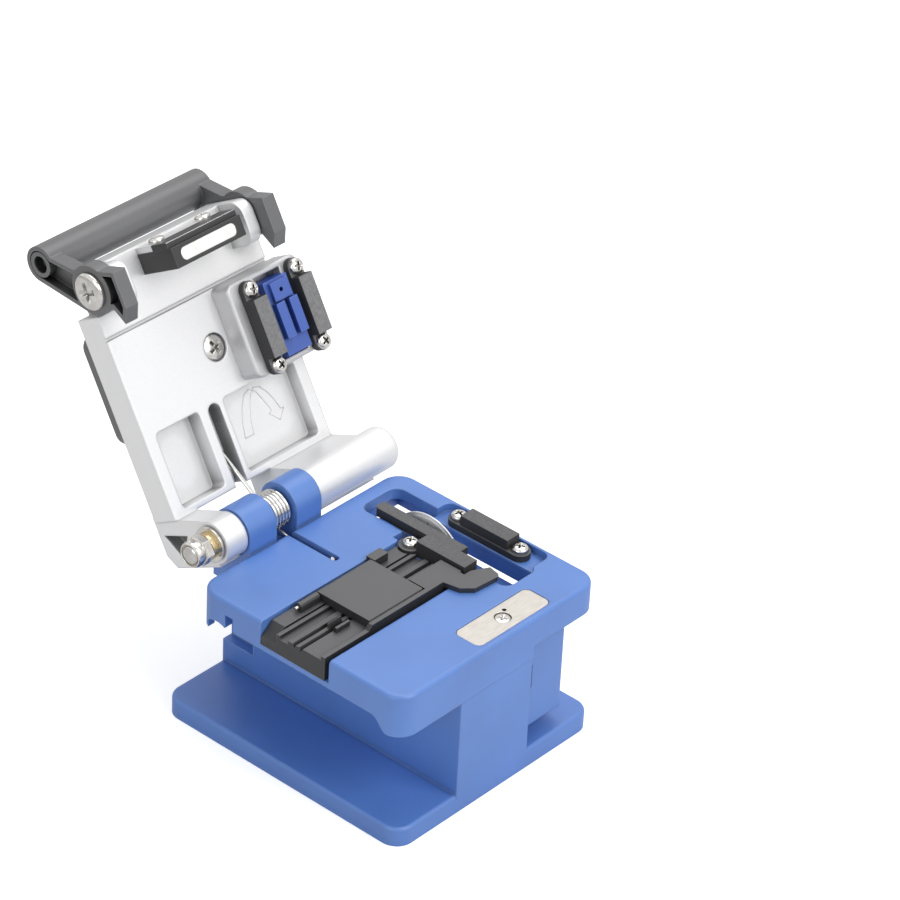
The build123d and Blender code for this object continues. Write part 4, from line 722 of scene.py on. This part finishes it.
# Lock nut and bush end
# Outside the left barrel come the gold-toned end of the bush, a slim plated hexagon and a
# round collar with a nylon ring. The shaft's bright end lies flush inside the collar.
low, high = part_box("hinge_nut")
NUT_CORNER = (high.y - low.y) / 2
BORE = 2.05 * MM
STUD_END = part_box("hinge_shaft")[0].x
along_left = LEFT.to_track_quat("Z", "Y").to_matrix().to_4x4()
nut_place = Matrix.Translation((high.x, HINGE.y, HINGE.z)) @ along_left
STACK = high.x - STUD_END
BUSH_LONG, HEX_LONG = STACK * 0.24, STACK * 0.62
bush_profile = [
    (BORE, 0),
    (NUT_CORNER * 0.74, 0),
    (NUT_CORNER * 0.74, BUSH_LONG),
    (BORE, BUSH_LONG),
]
hex_profile = [
    (BORE, BUSH_LONG),
    (NUT_CORNER * 0.76, BUSH_LONG),
    (NUT_CORNER * 0.84, BUSH_LONG + STACK * 0.04),
    (NUT_CORNER * 0.84, HEX_LONG - STACK * 0.05),
    (NUT_CORNER * 0.72, HEX_LONG),
    (BORE, HEX_LONG),
]
collar_profile = [
    (BORE, HEX_LONG),
    (NUT_CORNER * 0.66, HEX_LONG),
    (NUT_CORNER * 0.66, HEX_LONG + STACK * 0.06),
    (NUT_CORNER * 0.73, HEX_LONG + STACK * 0.10),
    (NUT_CORNER * 0.73, STACK * 0.88),
    (NUT_CORNER * 0.70, STACK * 0.95),
    (NUT_CORNER * 0.65, STACK * 0.99),
    (NUT_CORNER * 0.60, STACK * 0.98),
    (NUT_CORNER * 0.58, STACK * 0.90),
    (BORE, STACK * 0.90),
]
nylon_profile = [
    (BORE, STACK * 0.88),
    (NUT_CORNER * 0.59, STACK * 0.88),
    (NUT_CORNER * 0.59, STACK * 0.925),
    (BORE, STACK * 0.925),
]


def ring_piece(name, profile, steps, material, smooth):
    """Turned ring of a profile round the shaft; smooth is its sharpest soft angle."""
    shape = turned(profile + profile[:1], steps)
    bmesh.ops.remove_doubles(shape, verts=shape.verts, dist=1e-8)
    bmesh.ops.recalc_face_normals(shape, faces=shape.faces)
    shape.transform(nut_place)
    mesh = bpy.data.meshes.new(name)
    shape.to_mesh(mesh)
    shape.free()
    for face in mesh.polygons:
        face.use_smooth = True
    mesh.set_sharp_from_angle(angle=math.radians(smooth))
    return link(name, mesh, material, "base")


nylon = moulded(
    "nut_nylon",
    colour=(0.55, 0.50, 0.40),
    edge_colour=(0.7, 0.66, 0.55),
    roughness=0.45,
    grain=2000.0,
    grain_height=0.00001,
)
ROUND = 48
for name, profile, steps, material, smooth, slot in (
    ("lock_nut_hex", hex_profile, 6, plated, 20, "screw_steel"),
    ("lock_nut_collar", collar_profile, ROUND, plated, 40, "screw_steel"),
    ("lock_nut_nylon", nylon_profile, ROUND, nylon, 40, "grey_plastic"),
    ("bush_end", bush_profile, ROUND, brass, 40, "bush_brass"),
):
    piece = ring_piece(name, profile, steps, material, smooth)
    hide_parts("hinge_nut")

# Lid spring
# A torsion spring of bright drawn wire between the two blue knuckles. One leg lies on the
# floor of the table's slot, the other in the lid's leg pocket, and that one turns with it.
spring_wire = worked_metal(
    "spring_wire",
    colour=(0.72, 0.71, 0.69),
    roughness=0.2,
    scale=600.0,
    depth=0.15,
    height=0.000003,
)
WIRE = 0.45 * MM
COIL_TURNS, TURN_STEPS = 5, 48


def wire(name, points, material, body, radius=WIRE):
    """Round wire along a smooth line of points."""
    curve = bpy.data.curves.new(name, "CURVE")
    curve.dimensions = "3D"
    curve.bevel_depth = radius
    curve.bevel_resolution = 6
    curve.use_fill_caps = True
    spline = curve.splines.new("POLY")
    spline.points.add(len(points) - 1)
    for spot, point in zip(spline.points, points):
        spot.co = (*point, 1)
    curve.materials.append(material)
    piece = bpy.data.objects.new(name, curve)
    bpy.context.scene.collection.objects.link(piece)
    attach(piece, body)
    return piece


low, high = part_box("hinge_spring")
coil_left, coil_right = low.x + WIRE, high.x - WIRE
coil_radius = high.z - HINGE.z - WIRE
coil = []
for step in range(COIL_TURNS * TURN_STEPS + 1):
    angle = -math.pi / 2 + math.tau * step / TURN_STEPS
    along = coil_left + (coil_right - coil_left) * step / (COIL_TURNS * TURN_STEPS)
    y, z = coil_radius * math.cos(angle), coil_radius * math.sin(angle)
    coil.append((along, HINGE.y + y, HINGE.z + z))
spring = wire("lid_spring_coil", coil, spring_wire, "base")
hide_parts("hinge_spring")
LEG_X, LEG_LIFT, TIP_LIFT = -4.2 * MM, 0.3 * MM, 1.0 * MM
SLOT_FLOOR = 35.2 * MM
leg_root = HINGE.z - coil_radius
leg_low = SLOT_FLOOR + WIRE * 1.1
leg_line = [
    (HINGE.y, leg_root),
    (HINGE.y - 2 * MM, leg_root - 0.2 * MM),
    (HINGE.y - 4 * MM, leg_low + LEG_LIFT),
    (HINGE.y - 6 * MM, leg_low),
    (low.y + 1.8 * MM, leg_low),
    (low.y + 1.0 * MM, leg_low + LEG_LIFT),
    (low.y + WIRE * 1.1, leg_low + TIP_LIFT),
]
leg_points = [(LEG_X, y, z) for y, z in leg_line]
leg = wire("lid_spring_table_leg", leg_points, spring_wire, "base")
dress(spring_wire, "hinge_spring_lid_leg", "anvil_springs")

# Fibre holder and its flip cover
# Black glass-filled mouldings with a dry sheen. Their tops are painted dark grey, a painted
# sheen of light on them. The holder drops into the table's channel and the cover turns on a
# steel pin.
holder_plastic = moulded(
    "charcoal_nylon",
    colour=(0.028, 0.028, 0.030),
    edge_colour=(0.17, 0.17, 0.175),
    roughness=0.45,
    grain=3000.0,
    grain_height=0.00003,
    edge=0.0002,
    recess_shade_tone=0.3,
    ground=tuple(UP),
    lit_face_colour=(0.102, 0.101, 0.106),
)
dress(holder_plastic, "fibre_holder", "holder_cover")

# Rubber clamps
# Matt black rubber pads. The faces that grip the fibre are painted a lighter grey with a
# speckle: the lighter grey is painted light, the speckle is wear. Two screws hold each, but
# one the lower left clamp, which carries the blade guard's long arm.


def rubber(name, ground, lit_face_colour):
    """Clamp rubber whose gripping faces are painted a lighter grey as painted light, with
    speckled wear.
    """
    return moulded(
        name,
        colour=(0.026, 0.026, 0.027),
        edge_colour=(0.10, 0.10, 0.105),
        roughness=0.6,
        grain=1500.0,
        grain_height=0.00006,
        edge=0.0002,
        recess_shade_tone=0.4,
        ground=ground,
        lit_face_colour=lit_face_colour,
        speckle=1.6,
    )


LID_FACE = tuple(-LID_OUT)
table_rubber = rubber("clamp_rubber", tuple(UP), (0.058, 0.058, 0.060))
# The lid's copy has its gripping faces painted lighter than the table's, as painted light where
# they face the lamps.
lid_rubber_lit = rubber("lid_clamp_rubber_lit", LID_FACE, (0.104, 0.104, 0.106))
dress(table_rubber, "lower_left_clamp", "lower_right_clamp")
dress(lid_rubber_lit, "upper_left_clamp", "upper_right_clamp")

# Lid casting and clamp block
# Die-cast alloy under a fine silver paint: nearly white where it faces the light, with a
# tiny sparkle. A raised arrow in the wider pocket shows which way the lid shuts.


def make_silver_paint():
    """Group: silver paint with a fine orange-peel height and a faint sparkle."""
    group, given, result = finish_group("silver_paint", [])
    flakes = noise_in(group, scale=6000.0, detail=1.0)
    peel = noise_in(group, scale=1400.0, detail=3.0)
    shade = ramp(group, flakes, From_Min=0.3, From_Max=0.7, To_Min=0.95, To_Max=1.04)
    tint = scaled(group, given.outputs["Base"], shade)
    return end_finish(group, given, result, tint, peel, patch_gloss=0.05, height=peel)


silver_paint = make_silver_paint()
FLAT_OPEN = 0.85


def silver_lacquer(name, colour, metallic, recess_shade_tone):
    """Silver paint with painted shade in corners and pockets but not on the broad inner face.
    """
    material, tree, shader = material_with(name, Metallic=metallic)
    edges = group_node(tree, soft_edges, Radius=0.0006)
    recess = group_node(tree, recess_shade, Reach=0.005)
    flats = group_node(tree, facing_mask, Direction=LID_FACE)
    plain = maths(tree, "MULTIPLY", flats.outputs["Mask"], FLAT_OPEN)
    paint = group_node(
        tree,
        silver_paint,
        Base=(*colour, 1),
        Roughness=0.42,
        Open=maths(tree, "MAXIMUM", plain, recess.outputs["Open"]),
        Recess_Tone=recess_shade_tone,
    )
    apply_finish(tree, shader, paint, edges, strength=0.35, height=0.00001)
    return material


silver = silver_lacquer(
    "silver_lacquer", colour=(0.82, 0.82, 0.825), metallic=0.42, recess_shade_tone=0.2
)
dress(silver, "lid_casting")
# The clamp block takes a darker copy of the same paint, as painted shade on its shaded sides.
block_silver_shaded = silver_lacquer(
    "block_lacquer_shaded", colour=(0.56, 0.56, 0.57), metallic=0.6, recess_shade_tone=0.1
)
dress(block_silver_shaded, "clamp_block")

POCKET_FLOOR, ARROW_LINE = 11.4 * MM, 0.16 * MM
arrow_outer = [(4.9, 12.8), (5.6, 16.0), (6.9, 19.0), (8.4, 21.0), (10.0, 21.6), (11.6, 20.6)]
arrow_outer += [(12.7, 18.4), (13.9, 15.4), (13.0, 15.0), (15.2, 12.8), (17.2, 14.9)]
arrow_outer += [(16.3, 14.9), (15.6, 17.0), (14.3, 19.6), (12.9, 21.1)]
arrow_inner = [(7.3, 12.8), (7.9, 15.6), (8.9, 18.2), (10.0, 20.2), (11.3, 21.5), (12.9, 21.1)]
arrow_foot = [(4.9, 12.8), (7.3, 12.8)]
for label, line in (("0", arrow_outer), ("1", arrow_inner), ("foot", arrow_foot)):
    points = [lid_point(x * MM, u * MM, POCKET_FLOOR) for x, u in line]
    arrow = wire(f"closing_arrow_{label}", points, silver, "lid", ARROW_LINE)

# Anvil
# Bright blue glossy moulding in the clamp block's window, which presses the fibre down.
# Its pressing face is painted a paler blue, a painted sheen of light.
anvil_plastic = moulded(
    "anvil_blue",
    colour=(0.040, 0.105, 0.50),
    edge_colour=(0.15, 0.27, 0.75),
    roughness=0.3,
    grain=2000.0,
    grain_height=0.00001,
    edge=0.0003,
    recess_shade_tone=0.4,
    ground=LID_FACE,
    lit_face_colour=(0.066, 0.130, 0.45),
)
dress(anvil_plastic, "anvil")

# Magnet box
# Satin black moulding screwed under the lid's end; it holds a nickel-plated bar magnet.
# Its end shows black in front of its two screws, over the tip of the lid's flap.
box_plastic = moulded(
    "black_abs",
    colour=(0.028, 0.028, 0.029),
    edge_colour=(0.11, 0.11, 0.115),
    roughness=0.38,
    grain=2600.0,
    grain_height=0.00002,
    edge=0.0003,
)
dress(box_plastic, "magnet_holder")

low, high = lid_box("magnet_holder")
screw_low, screw_high = lid_box("magnet_screws")
FLAP_THICK, FLAP_TIP_W = 1.2 * MM, -2.0 * MM
TOP_SKIN, TOP_BEVEL = 0.08 * MM, 0.23 * MM
head_w = (screw_low.z + screw_high.z) / 2 - MAGNET_HEAD
top_u = high.y + FLAP_THICK + TOP_SKIN
front_w = FLAP_TIP_W - TOP_SKIN
top_profile = [
    (high.y - TOP_SKIN, head_w),
    (top_u, head_w),
    (top_u, front_w + TOP_BEVEL),
    (top_u - TOP_BEVEL, front_w),
    (high.y - TOP_SKIN, front_w),
]
box_top = bmesh.new()
caps = [
    [box_top.verts.new(lid_point(x, u, w)) for u, w in top_profile]
    for x in (low.x - TOP_SKIN, high.x + TOP_SKIN)
]
for cap in caps:
    box_top.faces.new(cap)
for i in range(len(top_profile)):
    j = (i + 1) % len(top_profile)
    box_top.faces.new((caps[0][i], caps[0][j], caps[1][j], caps[1][i]))
bmesh.ops.recalc_face_normals(box_top, faces=box_top.faces)
mesh = bpy.data.meshes.new("magnet_box_top")
box_top.to_mesh(mesh)
box_top.free()
top = link("magnet_box_top", mesh, box_plastic, "lid")

# Bail handle and grip pad
# Dark grey nylon mouldings with a dry, even sheen, lighter where they face the light.
handle_plastic = moulded(
    "graphite_nylon",
    colour=(0.105, 0.106, 0.11),
    edge_colour=(0.26, 0.26, 0.27),
    roughness=0.38,
    grain=2600.0,
    grain_height=0.00003,
    edge=0.0004,
    # Strong painted shade in its corners and recesses.
    recess_shade_tone=0.08,
    reach=0.004,
    Specular_IOR_Level=0.9,
)
dress(handle_plastic, "bail_handle", "grip_pad")

# Blade carriage and blade
# The carriage is moulded in the same blue. The round carbide blade is lapped bright, with
# a bevelled edge and a white index ring whose sixteen plain numbers show its cutting spots.
dress(blue_plastic, "blade_carriage")
carbide = worked_metal(
    "lapped_carbide",
    colour=(0.86, 0.87, 0.88),
    roughness=0.42,
    scale=400.0,
    depth=0.15,
    height=0.000004,
    stretch=(1, 1, 6),
    metallic=0.4,
)
dress(carbide, "cleaving_blade")
index_white = moulded(
    "index_enamel",
    colour=(0.86, 0.86, 0.86),
    edge_colour=(0.9, 0.9, 0.9),
    roughness=0.35,
    grain=1500.0,
    grain_height=0.000005,
)
index_ink = moulded(
    "index_ink",
    colour=(0.02, 0.02, 0.02),
    edge_colour=(0.03, 0.03, 0.03),
    roughness=0.5,
    grain=1500.0,
    grain_height=0.000005,
)
low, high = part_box("cleaving_blade")
blade_centre = Vector((low.x, (low.y + high.y) / 2, (low.z + high.z) / 2))
RING_THICK, RING_WIDE, RING_MARGIN = 0.04 * MM, 2.9 * MM, 0.55 * MM
RING_OUTER = (high.y - low.y) / 2 - RING_MARGIN
RING_INNER = RING_OUTER - RING_WIDE
NUMBER_COUNT, NUMBER_SIZE, INK_THICK = 16, 1.75 * MM, 0.03 * MM
face_left = Matrix(((0, 0, -1), (-1, 0, 0), (0, 1, 0))).to_4x4()
ring_profile = [
    (RING_INNER, 0),
    (RING_OUTER, 0),
    (RING_OUTER, RING_THICK),
    (RING_INNER, RING_THICK),
    (RING_INNER, 0),
]
ring = turned(ring_profile, steps=96)
bmesh.ops.remove_doubles(ring, verts=ring.verts, dist=1e-9)
ring.transform(Matrix.Translation(blade_centre) @ face_left)
mesh = bpy.data.meshes.new("index_ring")
ring.to_mesh(mesh)
ring.free()
index_ring = link("index_ring", mesh, index_white, "blade")
for number in range(NUMBER_COUNT):
    figure = bpy.data.curves.new(f"index_{number + 1}", "FONT")
    figure.body = str(number + 1)
    figure.size = NUMBER_SIZE
    figure.extrude = INK_THICK / 2
    figure.align_x = "CENTER"
    figure.align_y = "CENTER"
    figure.materials.append(index_ink)
    turn = Matrix.Rotation(-math.tau * number / NUMBER_COUNT, 4, "Z")
    outward = Matrix.Translation((0, (RING_INNER + RING_OUTER) / 2, RING_THICK))
    label = bpy.data.objects.new(f"index_number_{number + 1}", figure)
    label.matrix_world = Matrix.Translation(blade_centre) @ face_left @ turn @ outward
    bpy.context.scene.collection.objects.link(label)
    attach(label, "blade")

# Floor, light and camera
# A plain pale sweep of floor under soft studio light, seen from the photograph's place.
FLOOR_SIZE = 6.0
floor_mesh = bpy.data.meshes.new("studio_floor")
half = FLOOR_SIZE / 2
floor_mesh.from_pydata(
    [(-half, -half, 0), (half, -half, 0), (half, half, 0), (-half, half, 0)], [], [(0, 1, 2, 3)]
)
floor = bpy.data.objects.new("studio_floor", floor_mesh)
bpy.context.scene.collection.objects.link(floor)
floor_finish, tree, shader = material_with(
    "studio_floor", Base_Color=(0.86, 0.86, 0.86, 1), Roughness=0.8, Specular_IOR_Level=0.1
)
floor_mesh.materials.append(floor_finish)
path = tree.nodes.new("ShaderNodeLightPath")
glow = tree.nodes.new("ShaderNodeEmission")
feed_all(tree, glow, {"Color": (1, 1, 1, 1), "Strength": 0.55})
both = tree.nodes.new("ShaderNodeAddShader")
feed(tree, shader.outputs[0], both.inputs[0])
feed(tree, glow.outputs[0], both.inputs[1])
pick = tree.nodes.new("ShaderNodeMixShader")
feed(tree, path.outputs["Is Camera Ray"], pick.inputs["Fac"])
feed(tree, shader.outputs[0], pick.inputs[1])
feed(tree, both.outputs[0], pick.inputs[2])
feed(tree, pick.outputs[0], tree.nodes["Material Output"].inputs["Surface"])

world = bpy.data.worlds.new("studio_room")
bpy.context.scene.world = world
world.use_nodes = True
tree = world.node_tree
room = tree.nodes["Background"]
feed_all(tree, room, {"Color": (1, 1, 1, 1), "Strength": 0.30})
white = tree.nodes.new("ShaderNodeBackground")
feed_all(tree, white, {"Color": (1, 1, 1, 1), "Strength": 1.0})
path = tree.nodes.new("ShaderNodeLightPath")
seen = maths(tree, "MAXIMUM", path.outputs["Is Camera Ray"], path.outputs["Is Glossy Ray"])
pick = tree.nodes.new("ShaderNodeMixShader")
feed(tree, seen, pick.inputs["Fac"])
feed(tree, room.outputs[0], pick.inputs[1])
feed(tree, white.outputs[0], pick.inputs[2])
feed(tree, pick.outputs[0], tree.nodes["World Output"].inputs["Surface"])


def softbox(name, place, size, power, aim):
    """Square area lamp at a place, turned to its aim."""
    lamp = bpy.data.lights.new(name, "AREA")
    lamp.size = size
    lamp.energy = power
    holder = bpy.data.objects.new(name, lamp)
    holder.location = place
    towards = Vector(aim) - Vector(place)
    holder.rotation_euler = towards.to_track_quat("-Z", "Y").to_euler()
    bpy.context.scene.collection.objects.link(holder)


AIM = (0, 0, 0.03)
softbox("key_light", place=(0.1, -0.8, 0.75), size=0.7, power=6.3, aim=AIM)
softbox("top_light", place=(0.3, 0.2, 1.0), size=0.9, power=5.2, aim=AIM)
softbox("left_light", place=(-0.9, -0.1, 0.45), size=0.6, power=2.0, aim=AIM)

CAMERA_AIM = Vector((31.1, 10.7, 46.4)) * MM
CAMERA_AWAY = 880.9 * MM
CAMERA_RIGHT = Vector((0.6669, -0.7438, 0.0439))
CAMERA_UP = Vector((0.3861, 0.3955, 0.8333))
camera_back = CAMERA_RIGHT.cross(CAMERA_UP).normalized()
camera_up = camera_back.cross(CAMERA_RIGHT).normalized()
camera_data = bpy.data.cameras.new("photo_camera")
camera_data.sensor_width = 36.0
camera_data.lens = 171.5
camera_data.clip_end = 20.0
camera = bpy.data.objects.new("photo_camera", camera_data)
turn = Matrix((CAMERA_RIGHT.normalized(), camera_up, camera_back)).transposed().to_4x4()
camera.matrix_world = Matrix.Translation(CAMERA_AIM + camera_back * CAMERA_AWAY) @ turn
bpy.context.scene.collection.objects.link(camera)
bpy.context.scene.camera = camera
bpy.context.scene.view_settings.view_transform = "Standard"
